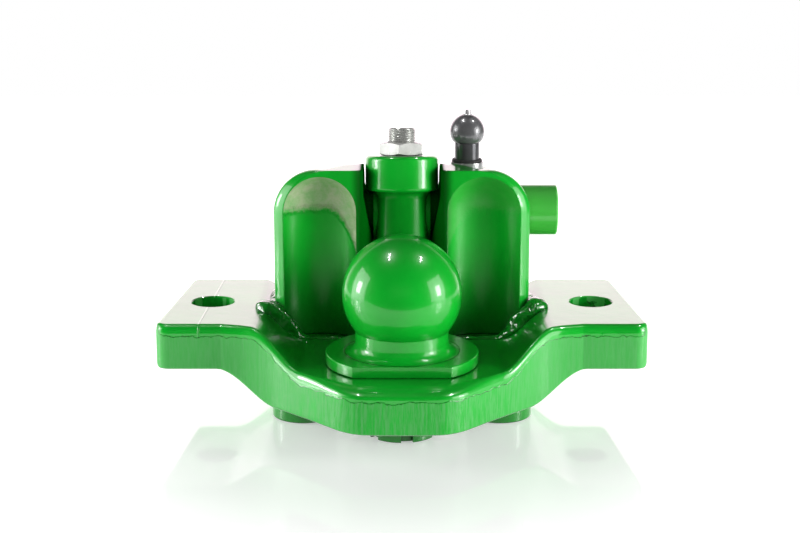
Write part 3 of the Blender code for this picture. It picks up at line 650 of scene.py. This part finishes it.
def plate_section(x_front, y_front):
    """Ring of (point, cut) across the plate, from the front edge's rolled-over top round to its face.

    cut is 1 on a flame-cut face and 0 on a rolled one.
    """
    side = math.copysign(1, x_front)
    outer_share = max(abs(x_front) - TAPER_X, 0) / (FLANGE_HALF - TAPER_X)
    x_back = x_front - side * outer_share * (FLANGE_HALF - FLANGE_HALF_BACK)
    y_front += set_back(x_front, FLANGE_HALF, CORNER_R)
    flange_share = smooth_step((abs(x_front) - 62 * MM) / (34 * MM))
    y_back = CENTRE_BACK_Y + (FLANGE_BACK_Y - CENTRE_BACK_Y) * flange_share
    y_back -= set_back(x_front, FLANGE_HALF, CORNER_R)
    end_round = set_back(x_front, FLANGE_HALF, END_EDGE_R)
    top, under = plate_top(x_front) - end_round, plate_under(x_front) + end_round
    nose_share = 1 - smooth_step((abs(x_front) - 34 * MM) / (30 * MM))
    roll_y = ROLL_Y + ROLL_Y_AT_NOSE * nose_share
    points = []
    steps = 12
    for i in range(steps + 1):
        u = math.radians(90 * i / steps)
        y = y_front + roll_y * (1 - math.cos(u))
        points.append((y, top - ROLL_Z * (1 - math.sin(u)), ROLL_CUT * (1 - i / steps)))
    low = PLATE_EDGE_R
    quarter = [math.radians(90 * i / 4) for i in range(5)]
    points += [(y_back - low + low * math.sin(u), top - low + low * math.cos(u), u) for u in quarter]
    points += [(y_back - low + low * math.cos(u), under + low - low * math.sin(u), 1) for u in quarter]
    points += [(y_front + low - low * math.sin(u), under + low - low * math.cos(u), u) for u in quarter]
    points.append((y_front, top - ROLL_Z - 4 * MM, 1.0))
    span = y_back - y_front
    ring = []
    for y, z, cut in points:
        x = x_front + (x_back - x_front) * (y - y_front) / span
        ring.append(((x, y, z), min(cut, 1.0)))
    return ring


def front_edge_points():
    nose = [(x * MM, NOSE_Y) for x in (0, 4, 8)]
    bend = curve_through([(x * MM, y * MM) for x, y in NOSE_CORNER + FRONT_EDGE], 12)
    flange = [(x * MM, FLANGE_FRONT_Y) for x in (126, 130, 134, 138, 142, 147, 151, 155)]
    start = FLANGE_HALF - CORNER_R
    corner = [start + CORNER_R * math.sin(math.radians(90 * i / 18)) for i in range(19)]
    return nose + bend + flange + [(x, FLANGE_FRONT_Y) for x in corner]


def make_base_plate():
    right = front_edge_points()
    edge = [(-x, y) for x, y in reversed(right[1:])] + right
    rings = [plate_section(x, y) for x, y in edge]
    plate = new_object("vis_base_plate", loft([[point for point, _ in ring] for ring in rings]))
    along, length, last = [], 0.0, Vector(edge[0])
    for spot in edge:
        length += (Vector(spot) - last).length
        last = Vector(spot)
        along += [length] * len(rings[0])
    cuts = [cut for ring in rings for _, cut in ring]
    for name, values in (("cut", cuts), ("along", along)):
        attribute = plate.data.attributes.new(name, "FLOAT", "POINT")
        attribute.data.foreach_set("value", values)
    profile = [(0, PLATE_TOP_Z - PLATE_T), (BOLT_HOLE_R, PLATE_TOP_Z - PLATE_T)]
    profile += [(BOLT_HOLE_R, 71.9 * MM), (BOLT_HOLE_R + 0.5 * MM, 72.5 * MM)]
    profile += [(BOLT_HOLE_R + 1.4 * MM, 73.2 * MM), (0, 73.2 * MM)]
    holes = [("DIFFERENCE", cylinder(SHANK_R + GAP, 0, 90 * MM), Matrix())]
    for x in (-BOLT_X, BOLT_X):
        place = Matrix.Translation((x, BOLT_Y, 0))
        holes.append(("DIFFERENCE", revolve(profile, 96), place))
    combine(plate, holes)
    dress(plate, plate_look("base_plate_paint"), "hitch", ["base_plate"])


def make_bosses():
    top = PLATE_TOP_Z - PLATE_T - GAP
    profile = rounded([(0, 0), (BOSS_R, 0), (BOSS_R, top), (0, top)], 1.6 * MM)
    for name, x in (("left", -BOSS_X), ("right", BOSS_X)):
        place = Matrix.Translation((x, BOSS_Y, 0))
        boss = new_object(f"vis_boss_{name}", revolve(profile, 96), place)
        dress(boss, paint_look(f"boss_{name}_paint"), "hitch", [f"locating_boss_{name}"])


# -------------------- ball and its nut


def make_ball():
    under = PLATE_TOP_Z - PLATE_T
    disc_z = PLATE_TOP_Z + GAP
    fillet = 7 * MM
    neck_angle = -math.degrees(math.acos(NECK_R / BALL_R))
    shank = [(0, 0), (THREAD_R, 0), (THREAD_R, under - GAP), (SHANK_R, under + MM)]
    shank.append((SHANK_R, disc_z))
    disc = [(DISC_R, disc_z), (DISC_R, DISC_TOP_Z), (NECK_R + fillet, DISC_TOP_Z)]
    profile = rounded(shank + disc, 1.1 * MM, 5)[:-1]
    profile = [point for point in profile if point[0] <= DISC_R]
    profile += arc((NECK_R + fillet, DISC_TOP_Z + fillet), fillet, 270, 180, 14)
    profile += arc((0, BALL_Z), BALL_R, neck_angle - 2, 90, 80)[1:-1]
    ball = new_object("vis_ball", revolve(profile + [(0, BALL_Z + BALL_R)], 160))
    far = 70 * MM  # past the disc on every side
    flat = box((-far, -far, PLATE_TOP_Z - 5 * MM), (far, DISC_FLAT_Y, DISC_TOP_Z + 2 * MM))
    combine(ball, [("DIFFERENCE", flat, Matrix())])
    dress(ball, paint_look("ball_paint", edge=0.9 * MM, peel=0.5), "hitch", ["hitch_ball"])


def make_ball_nut():
    top = PLATE_TOP_Z - PLATE_T - GAP
    nut = new_object("vis_ball_nut", prism(hexagon(NUT_AF), NUT_CROWN_H, top))
    crown_top = NUT_CROWN_H + 2 * MM
    crown = [(0, 0), (NUT_CROWN_R, 0), (NUT_CROWN_R, crown_top), (0, crown_top)]
    steps = [("UNION", revolve(rounded(crown, 1.2 * MM), 96), Matrix())]
    steps.append(("DIFFERENCE", cylinder(THREAD_R + GAP, -5 * MM, top + 5 * MM), Matrix()))
    far, half = 30 * MM, NUT_SLOT / 2
    for number in range(3):
        slot = box((-far, -half, -5 * MM), (far, half, NUT_SLOT_H))
        angle = NUT_TURN - math.pi / 2 + number * math.pi / 3
        steps.append(("DIFFERENCE", slot, Matrix.Rotation(angle, 4, "Z")))
    combine(nut, steps)
    dress(nut, paint_look("ball_nut_paint"), "hitch", ["ball_nut"])


# -------------------- uprights


def upright_inner(y):
    into = max(UPRIGHT_FRONT_Y + UPRIGHT_INNER_R - y, 0)
    return UPRIGHT_IN + UPRIGHT_INNER_R - math.sqrt(max(UPRIGHT_INNER_R**2 - into**2, 0))


def upright_outer(y):
    """It flares just behind the front face, and comes in round the back edge."""
    flare = smooth_step(0.5 + 0.5 * (y - UPRIGHT_FRONT_Y) / (7 * MM)) * 2 - 1
    into = max(y - (UPRIGHT_BACK_Y - UPRIGHT_BACK_R), 0)
    in_at_back = UPRIGHT_BACK_R - math.sqrt(max(UPRIGHT_BACK_R**2 - into**2, 0))
    return UPRIGHT_OUT_FRONT + (UPRIGHT_OUT - UPRIGHT_OUT_FRONT) * flare - 0.8 * in_at_back


def upright_top(x, y):
    """Level for a short way behind the front face, and then falling faster and faster."""
    flat_depth = 24 * MM - 20 * MM * smooth_step((x - 36 * MM) / (20 * MM))
    past = max(y - UPRIGHT_FRONT_Y - flat_depth, 0)
    return UPRIGHT_TOP_Z - past**2 / (90 * MM)


def upright_section(y):
    inner, outer = upright_inner(y), upright_outer(y)
    shoulder_x = outer - UPRIGHT_SHOULDER_R
    shoulder_z = upright_top(shoulder_x, y) - UPRIGHT_SHOULDER_R
    bottom = [inner + (outer - inner) * i / 40 for i in range(41)]
    points = [(x, plate_top(x) + GAP) for x in bottom]
    points += arc((shoulder_x, shoulder_z), UPRIGHT_SHOULDER_R, 0, 90, 36)
    edge = UPRIGHT_EDGE_R
    top = [shoulder_x + (inner + edge - shoulder_x) * i / 16 for i in range(1, 17)]
    points += [(x, upright_top(x, y)) for x in top]
    inner_top = upright_top(inner, y)
    corner = arc((inner + edge, inner_top - edge), edge, 90, 180, 6)[1:]
    return [(x, y, z) for x, z in points + corner]


def upright_stations():
    """The y of each section, closest together where the outline changes fastest."""
    front = [UPRIGHT_FRONT_Y + d * MM for d in
             (0, 0.25, 0.6, 1, 1.5, 2.1, 2.8, 3.6, 4.5, 5.5, 6.6, 8, 10, 12, 14, 17, 20, 24, 28,
              32, 36, 41, 46)]
    back = [UPRIGHT_BACK_Y - d * MM for d in (10, 8, 6, 4.5, 3, 2, 1.2, 0.6, 0.2, 0)]
    return front + back


def niche_shape():
    """The scoop in an upright's front: an upright cylinder with a dome on top."""
    dome_z = NICHE_TOP_Z - NICHE_HALF_WIDTH
    profile = [(0, 30 * MM), (NICHE_R, 30 * MM)] + arc((0, dome_z), NICHE_R, 0, 90, 36)[:-1]
    return revolve(profile + [(0, dome_z + NICHE_R)], 144)


def sweep_shape():
    """The room that the hold-down's collar takes between the uprights, all the way to the back."""
    low, knee, top = SWEEP_LOW_Z, SWEEP_KNEE_Z, 200 * MM
    right = [(UPRIGHT_IN - MM, low), (UPRIGHT_IN, low), (SWEEP_HALF, knee), (SWEEP_HALF, top)]
    outline = right + [(-x, z) for x, z in reversed(right)]
    return loft([[(x, y, z) for x, z in outline] for y in (40 * MM, UPRIGHT_BACK_Y + 10 * MM)])


def mark_scoop(upright, centre):
    """Marks the faces that lie on the scoop, a cylinder with a dome on top."""
    marks = []
    for face in upright.data.polygons:
        away = face.center - centre
        if away.z < 0:
            away.z = 0
        marks.append(1.0 if abs(away.length - NICHE_R) < 0.15 * MM else 0.0)
    attribute = upright.data.attributes.new("scoop", "FLOAT", "FACE")
    attribute.data.foreach_set("value", marks)


def plunger_seat_steps():
    """The boss on the right upright that holds the plunger's housing, and the bore in it."""
    boss_low, high = 156 * MM, 190 * MM
    boss = [(0, boss_low), (PLUNGER_BOSS_R, boss_low), (PLUNGER_BOSS_R, PLUNGER_BOSS_Z)]
    boss = rounded(boss + [(0, PLUNGER_BOSS_Z)], 1.5 * MM)
    bore_r, face_r = HOUSING_R + GAP, RING_R + 2 * GAP
    bore = [(0, AXLE_Z), (bore_r, AXLE_Z), (bore_r, PLUNGER_BOSS_Z), (face_r, PLUNGER_BOSS_Z)]
    bore += [(face_r, high), (0, high)]
    return [("UNION", revolve(boss, 96), PLUNGER), ("DIFFERENCE", revolve(bore, 96), PLUNGER)]


def axle_bore(side):
    """Clearance for the axle, the bush's seat, and a recess for the washer or for the head."""
    start, end = 10 * MM, 120 * MM
    recess_r, recess_x = WASHER_RECESS_R, WASHER_RECESS_X
    if side > 0:
        recess_r, recess_x = HEAD_RECESS_R, HEAD_RECESS_X
    bore = [(0, start), (AXLE_BORE_R, start), (AXLE_BORE_R, BUSH_SEAT_X), (BUSH_SEAT_R, BUSH_SEAT_X)]
    bore += [(BUSH_SEAT_R, recess_x), (recess_r, recess_x), (recess_r, end), (0, end)]
    return revolve(bore, 96)


def make_upright(name, side):
    """side is -1 for the left upright and 1 for the right one."""
    sections = [[(side * x, y, z) for x, y, z in upright_section(y)] for y in upright_stations()]
    upright = new_object(f"vis_upright_{name}", loft(sections))
    steps = plunger_seat_steps() if side > 0 else []
    niche_y = UPRIGHT_FRONT_Y - math.sqrt(NICHE_R**2 - NICHE_HALF_WIDTH**2)
    steps.append(("DIFFERENCE", niche_shape(), Matrix.Translation((side * NICHE_X, niche_y, 0))))
    steps.append(("DIFFERENCE", sweep_shape(), Matrix()))
    outwards = Matrix.Rotation(side * math.pi / 2, 4, "Y")
    place = Matrix.Translation((0, AXLE_Y, AXLE_Z)) @ outwards
    steps.append(("DIFFERENCE", axle_bore(side), place))
    low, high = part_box("stop_bar")
    place = Matrix.Translation((0, (low.y + high.y) / 2, (low.z + high.z) / 2)) @ TO_X
    socket = cylinder(STOP_R + GAP, -STOP_SOCKET_HALF, STOP_SOCKET_HALF)
    steps.append(("DIFFERENCE", socket, place))
    place = Matrix.Translation((side * NIPPLE_X, 0, AXLE_Z)) @ TO_Y
    steps.append(("DIFFERENCE", cylinder(NIPPLE_HOLE_R, 103 * MM, 121 * MM, 32), place))
    combine(upright, steps)
    mark_scoop(upright, Vector((side * NICHE_X, niche_y, NICHE_TOP_Z - NICHE_HALF_WIDTH)))
    # strength of the painted beige reflection: strong under the left arch, faint under the right
    reflection_strength = 1.0 if side < 0 else 0.08
    look = paint_look(f"upright_{name}_paint", edge=1.1 * MM, cast=0.25, reflection_strength=reflection_strength)
    dress(upright, look, "hitch", [f"upright_{name}"])


def bead(name, path, radii, seed, slot):
    """A weld bead: a rounded rope along the path with overlapping ripples and lumps."""
    rings = []
    count = len(path)
    sides, taper_rings = 28, 16
    travelled = 0.0
    for i, (spot, radius) in enumerate(zip(path, radii)):
        before, after = path[max(i - 1, 0)], path[min(i + 1, count - 1)]
        forward = (after - before).normalized()
        aside = forward.cross(Vector((0, 0, 1))).normalized()
        above = aside.cross(forward)
        travelled += (spot - before).length if i else 0
        ripple = 0.04 * abs(math.sin(travelled / RIPPLE * math.pi)) + 0.94
        taper = math.sqrt(min(i + 0.3, count - 1 - i + 0.3, taper_rings) / taper_rings)
        ring = []
        for k in range(sides):
            a = math.tau * k / sides
            spread = Vector((travelled * 95, 1.3 * math.cos(a) + seed, 1.3 * math.sin(a)))
            lumps = 1 + 0.4 * noise.noise(spread) + 0.08 * noise.noise(spread * 2.3)
            r = radius * ripple * taper * lumps
            ring.append(spot + aside * (r * math.cos(a)) + above * (r * math.sin(a)))
        rings.append(ring)
    obj = new_object(name, loft(rings))
    dress(obj, bead_look(f"{name}_paint"), "hitch", (), sharp=70)


def side_bead(side):
    """(path, radii) along the outer foot of an upright and round its back."""
    path, radii = [], []
    for i in range(120):
        y = UPRIGHT_FRONT_Y - 1 * MM + (UPRIGHT_BACK_Y - UPRIGHT_FRONT_Y) * i / 119
        x = upright_outer(max(y, UPRIGHT_FRONT_Y)) + 1 * MM
        path.append(Vector((side * x, y, plate_top(x) + 0.3 * MM)))
        radii.append(5.0 * MM)
    for i in range(1, 50):
        x = upright_outer(UPRIGHT_BACK_Y - 1 * MM) - 60 * MM * i / 50
        path.append(Vector((side * x, UPRIGHT_BACK_Y + 1.2 * MM, plate_top(x) + 1 * MM)))
        radii.append(5.2 * MM)
    return path, radii


def front_bead(side):
    """(path, radii) along the foot of an upright's front face, thickest at its outer corner."""
    path, radii = [], []
    for i in range(130):
        x = UPRIGHT_OUT_FRONT + 20 * MM - 62 * MM * i / 129
        thick = smooth_step((x - 64 * MM) / (22 * MM))
        y = UPRIGHT_FRONT_Y + (3.0 * smooth_step((x - 84 * MM) / (12 * MM)) - 2.0 * thick) * MM
        path.append(Vector((side * x, y, plate_top(x) + 0.4 * thick * MM)))
        radii.append((1.8 + 6.4 * thick) * MM)
    return path, radii


def make_beads():
    for name, side, seed in (("left", -1, 4.0), ("right", 1, 9.0)):
        bead(f"vis_weld_{name}", *side_bead(side), seed, f"upright_{name}")
        bead(f"vis_foot_weld_{name}", *front_bead(side), seed + 20, f"upright_{name}")


# -------------------- hold-down


def make_arm():
    fillet, corner = 6 * MM, 3 * MM
    low, high = COLLAR_LOW, COLLAR_HIGH
    profile = [(0, COLUMN_BOTTOM)]
    profile += arc((COLUMN_R - 2 * MM, COLUMN_BOTTOM + 2 * MM), 2 * MM, -90, 0, 5)
    profile += arc((COLUMN_R + fillet, low - fillet + MM), fillet, 180, 115, 10)
    profile += arc((COLLAR_R - corner, low + corner), corner, -75, 0, 8)
    profile += arc((COLLAR_R - corner, high - corner), corner, 0, 90, 10)
    arm = new_object("vis_arm", revolve(profile + [(0, high)], 144), COLUMN)
    far = 40 * MM
    steps = [("UNION", cylinder(HUB_R, -HUB_HALF, HUB_HALF, 144), PIVOT @ TO_X)]
    steps.append(("DIFFERENCE", cylinder(AXLE_R + GAP, -far, far), PIVOT @ TO_X))
    steps.append(("DIFFERENCE", cylinder(STUD_R + GAP, STUD_LOW - GAP, 2 * far), COLUMN))
    steps.append(("DIFFERENCE", cylinder(ROLL_PIN_HOLE_R, -24.3 * MM, far, 40), PIVOT @ TO_Y))
    combine(arm, steps)
    look = paint_look("arm_paint", edge=0.8 * MM, peel=1.2, cast=0.12, shade=shade_below_collar)
    dress(arm, look, "hold_down", ["hold_down_arm"])


def make_stud():
    """The thread is a real helix: its radius falls and rises as it turns."""
    pitch, depth = 1.75 * MM, 0.95 * MM
    sides, per_turn = 96, 12
    rows = int((STUD_HIGH - STUD_LOW) / pitch * per_turn)
    bm = bmesh.new()
    rings = []
    for row in range(rows + 1):
        z = STUD_LOW + (STUD_HIGH - STUD_LOW) * row / rows
        from_end = min(z - STUD_LOW, STUD_HIGH - z)
        limit = STUD_R - 1.5 * MM + from_end
        ring = []
        for k in range(sides):
            phase = (z / pitch - k / sides) % 1.0
            tooth = abs(phase * 2 - 1)
            r = STUD_R - depth * min(max(1.25 * tooth - 0.1, 0), 1)
            r = min(r, limit)
            a = math.tau * k / sides
            ring.append(bm.verts.new((r * math.cos(a), r * math.sin(a), z)))
        rings.append(ring)
    for first, second in zip(rings, rings[1:]):
        for i in range(sides):
            j = (i + 1) % sides
            bm.faces.new((first[i], first[j], second[j], second[i]))
    bm.faces.new(rings[0])
    bm.faces.new(rings[-1])
    stud = new_object("vis_stud", bm, COLUMN)
    look = metal_look("stud_zinc", STUD_ZINC, (0.22, 0.34), metallic=0.6)
    dress(stud, look, "hold_down", ["clamp_stud"], sharp=40)


def make_lock_nut():
    low = COLLAR_HIGH + GAP
    high = low + LOCK_NUT_H
    reach = LOCK_NUT_AF / 2 * 0.97
    corner = LOCK_NUT_AF / math.sqrt(3) + MM
    drop = (corner - reach) * math.tan(math.radians(30))
    profile = [(0, low), (reach, low), (corner, low + drop), (corner, high - drop), (reach, high)]
    nut = new_object("vis_lock_nut", prism(hexagon(LOCK_NUT_AF, LOCK_NUT_TURN), low, high), COLUMN)
    steps = [("INTERSECT", revolve(profile + [(0, high)], 120), COLUMN)]
    bore_r = STUD_R + GAP
    bore = [(0, low - MM), (bore_r + 1.2 * MM, low - MM), (bore_r, low + 1.4 * MM)]
    bore += [(bore_r, high - 1.4 * MM), (bore_r + 1.6 * MM, high + MM), (0, high + MM)]
    steps.append(("DIFFERENCE", revolve(bore, 96), COLUMN))
    combine(nut, steps)
    look = metal_look("lock_nut_zinc", ZINC, (0.16, 0.3), edge=0.4 * MM, metallic=0.2)
    dress(nut, look, "hold_down", ["lock_nut"])


def make_axle():
    low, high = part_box("pivot_axle")
    chamfer, head_edge = 1.5 * MM, 1.6 * MM
    profile = [(0, low.x), (AXLE_R - chamfer, low.x), (AXLE_R, low.x + chamfer)]
    profile += [(AXLE_R, GROOVE_X[0]), (GROOVE_R, GROOVE_X[0]), (GROOVE_R, GROOVE_X[1])]
    profile += [(AXLE_R, GROOVE_X[1]), (AXLE_R, AXLE_HEAD_X), (AXLE_HEAD_R, AXLE_HEAD_X)]
    profile += arc((AXLE_HEAD_R - head_edge, high.x - head_edge), head_edge, 0, 90, 6)
    axle = new_object("vis_axle", revolve(profile + [(0, high.x)], 128), PIVOT @ TO_X)
    hole = cylinder(ROLL_PIN_HOLE_R, -40 * MM, 40 * MM, 40)
    steps = [("DIFFERENCE", hole, PIVOT @ TO_Y)]
    for turn in (LEAN, math.pi / 2):
        socket = cylinder(LOCK_SOCKET_R, AXLE_R - 6.2 * MM, AXLE_R + 5 * MM, 48)
        aim = PIVOT @ Matrix.Translation((PLUNGER_X, 0, 0)) @ Matrix.Rotation(turn, 4, "X")
        steps.append(("DIFFERENCE", socket, aim))
    combine(axle, steps)
    look = paint_look("axle_paint", peel=1.2, cast=0.15, shade=light_and_shade_on_axle)
    dress(axle, look, "hold_down", ["pivot_axle"])


# -------------------- plunger


def make_housing():
    """A tube inside a tube, closed at the top: the sleeve slides between, and the spring inside."""
    groove_r, tube_r, room_r = SLEEVE_R + 0.4 * MM, 7.1 * MM, 5.9 * MM
    mouth_r, bottom, floor, cap = 5.3 * MM, 152.5 * MM, 154.5 * MM, 180.3 * MM
    groove_z, tube_top, ring_z = 161.5 * MM, 182.3 * MM, PLUNGER_BOSS_Z + GAP
    profile = [(mouth_r, bottom), (HOUSING_R, bottom), (HOUSING_R, ring_z), (RING_R, ring_z)]
    profile += [(RING_R, RING_TOP_Z), (groove_r, RING_TOP_Z), (groove_r, groove_z)]
    profile += [(tube_r, groove_z), (tube_r, tube_top), (STEM_HOLE_R, tube_top), (STEM_HOLE_R, cap)]
    profile += [(room_r, cap), (room_r, floor), (mouth_r, floor)]
    housing = new_object("vis_housing", revolve(rounded(profile, 0.5 * MM, 3), 96), PLUNGER)
    look = metal_look("housing_steel", BRIGHT, (0.1, 0.22), (1, 1, 6), metallic=0.6)
    dress(housing, look, "hitch", ["plunger_housing"])


def make_seal():
    low, inner = RING_TOP_Z + GAP, SLEEVE_R + GAP
    profile = [(inner, low), (RING_R - MM, low), (RING_R - 1.4 * MM, low + 1.4 * MM)]
    profile = rounded(profile + [(inner, low + 1.7 * MM)], 0.4 * MM, 3)
    seal = new_object("vis_seal", revolve(profile, 96), PLUNGER)
    dress(seal, rubber_look("seal_rubber"), "hitch", ["plunger_seal"])


def make_sleeve():
    low, high = SLEEVE_Z
    profile = [(KNOB_BORE_R, low), (SLEEVE_R, low), (SLEEVE_R, high), (KNOB_BORE_R, high)]
    sleeve = new_object("vis_sleeve", revolve(rounded(profile, 0.3 * MM, 3), 96), PLUNGER)
    look = metal_look("sleeve_steel", DARK, (0.08, 0.2), (1, 1, 8), 0.01 * MM, metallic=0.5)
    dress(sleeve, look, "plunger", ["plunger_sleeve"])


def make_knob():
    flat_angle = math.degrees(math.asin((KNOB_FLAT_Z - KNOB_Z) / KNOB_R))
    top_angle = math.degrees(math.acos(STEM_HOLE_R / KNOB_R))
    profile = [(KNOB_BORE_R, KNOB_FLAT_Z), (9.2 * MM, KNOB_FLAT_Z)]
    profile += arc((0, KNOB_Z), KNOB_R, flat_angle + 3, top_angle, 44)
    profile += [(STEM_HOLE_R, KNOB_FLOOR_Z), (KNOB_BORE_R, KNOB_FLOOR_Z)]
    knob = new_object("vis_knob", revolve(profile, 112), PLUNGER)
    dress(knob, knob_look("knob_satin"), "plunger", ["plunger_knob"])


def make_pin():
    tip_r, collar_r, stem_r, end_r = 5 * MM, 5.6 * MM, 3 * MM, 2.5 * MM
    tip_z, collar_z = 153.6 * MM, (162.8 * MM, 165.3 * MM)
    profile = [(0, tip_z), (tip_r, tip_z), (tip_r, collar_z[0]), (collar_r, collar_z[0])]
    profile += [(collar_r, collar_z[1]), (stem_r, collar_z[1]), (stem_r, STEM_TOP_Z - 3.6 * MM)]
    profile += [(end_r, STEM_TOP_Z - 3.4 * MM), (end_r, STEM_TOP_Z - 0.3 * MM)]
    profile += [(1.9 * MM, STEM_TOP_Z), (0, STEM_TOP_Z)]
    pin = new_object("vis_pin", revolve(rounded(profile, 0.35 * MM, 3), 64), PLUNGER)
    look = metal_look("pin_steel", BRIGHT, (0.12, 0.25), (1, 1, 6), metallic=0.5)
    dress(pin, look, "plunger", ["plunger_pin"])


# -------------------- nodes that keep their CAD shape


def paint_cad_nodes():
    looks = {
        "split_pin": metal_look("split_pin_zinc", ZINC),
        "stop_bar": paint_look("stop_bar_paint"),
        "grease_nipple_left": metal_look("nipple_left_zinc", ZINC),
        "grease_nipple_right": metal_look("nipple_right_zinc", ZINC),
        "axle_bush_left": metal_look("bush_left_bronze", BRONZE),
        "axle_bush_right": metal_look("bush_right_bronze", BRONZE),
        "axle_washer": metal_look("washer_zinc", ZINC),
        "axle_circlip": metal_look("circlip_steel", DARK),
        "axle_roll_pin": metal_look("roll_pin_steel", DARK),
        "plunger_spring": metal_look("spring_steel", BRIGHT),
    }
    for name, material in looks.items():
        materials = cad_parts[name].data.materials
        materials.clear()
        materials.append(material)


# -------------------- studio

FLOOR_HALF = 1.0
FLOOR_FRONT_Y = -0.36
GLOW_Y = 0.04  # the floor glows more strongly the farther it is from here
GLOW = (0.40, 0.8)


def make_floor():
    """A glossy white table that fades out at its edges. It glows as painted light, less near GLOW_Y,
    which leaves a painted pool of shade round the piece. The ball shows its front edge as a horizon.
    """
    bm = bmesh.new()
    bmesh.ops.create_grid(bm, x_segments=8, y_segments=8, size=FLOOR_HALF)
    middle_y = FLOOR_HALF + FLOOR_FRONT_Y
    floor = new_object("floor", bm, Matrix.Translation((0, middle_y, -0.5 * MM)))
    look = Look("floor_white")
    look.set(Base_Color=TABLE_WHITE, Roughness=0.05, IOR=1.4)
    where = look.split(look.place())
    spot = look.add("ShaderNodeCombineXYZ", X=where["X"], Y=look.plus(where["Y"], middle_y - GLOW_Y))
    away = look.add("ShaderNodeVectorMath", {"operation": "LENGTH"}, Vector=spot.outputs["Vector"])
    look.set(Emission_Color=WHITE)
    look.set(Emission_Strength=look.between(away.outputs["Value"], 0.14, 0.34, *GLOW))
    sides = look.between(look.size_of(where["X"]), 0.72 * FLOOR_HALF, FLOOR_HALF, 1.0, 0.0)
    back = look.between(where["Y"], 0.6 * FLOOR_HALF, FLOOR_HALF, 1.0, 0.0)
    front = look.between(where["Y"], -FLOOR_HALF, 0.04 - FLOOR_HALF, 0.0, 1.0)
    look.set(Alpha=look.times(look.times(sides, back), front))
    floor.data.materials.append(look.material)


def make_world():
    """White to the camera. The piece itself mirrors a bright cove behind it in a dim room."""
    world = bpy.data.worlds.new("studio")
    world.use_nodes = True
    bpy.context.scene.world = world
    nodes = Nodes(world.node_tree)
    aim = nodes.split(nodes.add("ShaderNodeTexCoord").outputs["Generated"])
    cove = nodes.times(nodes.between(aim["Y"], 0.6, 0.86), nodes.between(aim["Z"], 0.62, 0.36))
    room = nodes.blend(cove, ROOM_DIM, COVE_BRIGHT, "FLOAT")
    seen = nodes.add("ShaderNodeLightPath").outputs["Is Camera Ray"]
    background = nodes.tree.nodes["Background"]
    nodes.feed(background.inputs["Strength"], nodes.blend(seen, room, 1.0, "FLOAT"))
    nodes.feed(background.inputs["Color"], nodes.blend(seen, COVE_TINT, WHITE))


def make_lamp(name, place, aim, size, radiance, in_gloss=True, in_diffuse=True):
    lamp = bpy.data.lights.new(name, "AREA")
    lamp.shape = "RECTANGLE"
    lamp.size, lamp.size_y = size
    lamp.energy = radiance * math.pi * size[0] * size[1]
    obj = bpy.data.objects.new(name, lamp)
    bpy.context.scene.collection.objects.link(obj)
    obj.location = place
    obj.rotation_euler = (Vector(aim) - Vector(place)).to_track_quat("-Z", "Y").to_euler()
    obj.visible_camera = False
    obj.visible_glossy = in_gloss
    obj.visible_diffuse = in_diffuse


def make_lights():
    middle = (0, 0, 0.09)
    make_lamp("left_box", (-1.2, 0.06, 0.34), middle, (0.8, 0.85), 3.6)
    make_lamp("left_bulb", (-1.1, 0.04, 0.26), middle, (0.2, 0.3), 16)
    make_lamp("right_box", (1.15, -0.36, 0.34), middle, (0.75, 0.8), 3.6)
    make_lamp("right_bulb", (1.05, -0.30, 0.26), middle, (0.2, 0.3), 16)
    make_lamp("top_left", (-0.62, 0.1, 1.95), middle, (0.5, 0.06), 130, in_diffuse=False)
    make_lamp("top_right", (0.98, 0.1, 1.9), middle, (0.42, 0.06), 130, in_diffuse=False)
    make_lamp("front_fill", (0.0, -2.2, 0.8), middle, (1.8, 0.8), 2.4, in_gloss=False)
    make_lamp("left_fill", (-1.9, -0.7, 0.4), middle, (0.8, 0.8), 3.8, in_gloss=False)
    make_lamp("right_fill", (1.9, -0.7, 0.4), middle, (0.8, 0.8), 7.0, in_gloss=False)
    make_lamp("back_fill", (0.0, 2.4, 1.2), middle, (1.8, 0.8), 3.0, in_gloss=False)


def make_camera():
    camera = bpy.data.cameras.new("camera")
    camera.lens = 78.75
    camera.sensor_width = 36
    camera.clip_start = 0.01
    obj = bpy.data.objects.new("camera", camera)
    obj.location = (-0.0013, -1.130, 0.389)
    obj.rotation_euler = (math.radians(90 - 13.6), 0, 0)
    bpy.context.scene.collection.objects.link(obj)
    bpy.context.scene.camera = obj


def main():
    bpy.context.scene.view_settings.view_transform = "Standard"
    make_base_plate()
    make_bosses()
    make_ball()
    make_ball_nut()
    for name, side in (("left", -1), ("right", 1)):
        make_upright(name, side)
    make_beads()
    make_arm()
    make_stud()
    make_lock_nut()
    make_axle()
    make_housing()
    make_seal()
    make_sleeve()
    make_knob()
    make_pin()
    paint_cad_nodes()
    make_floor()
    make_world()
    make_lights()
    make_camera()


main()
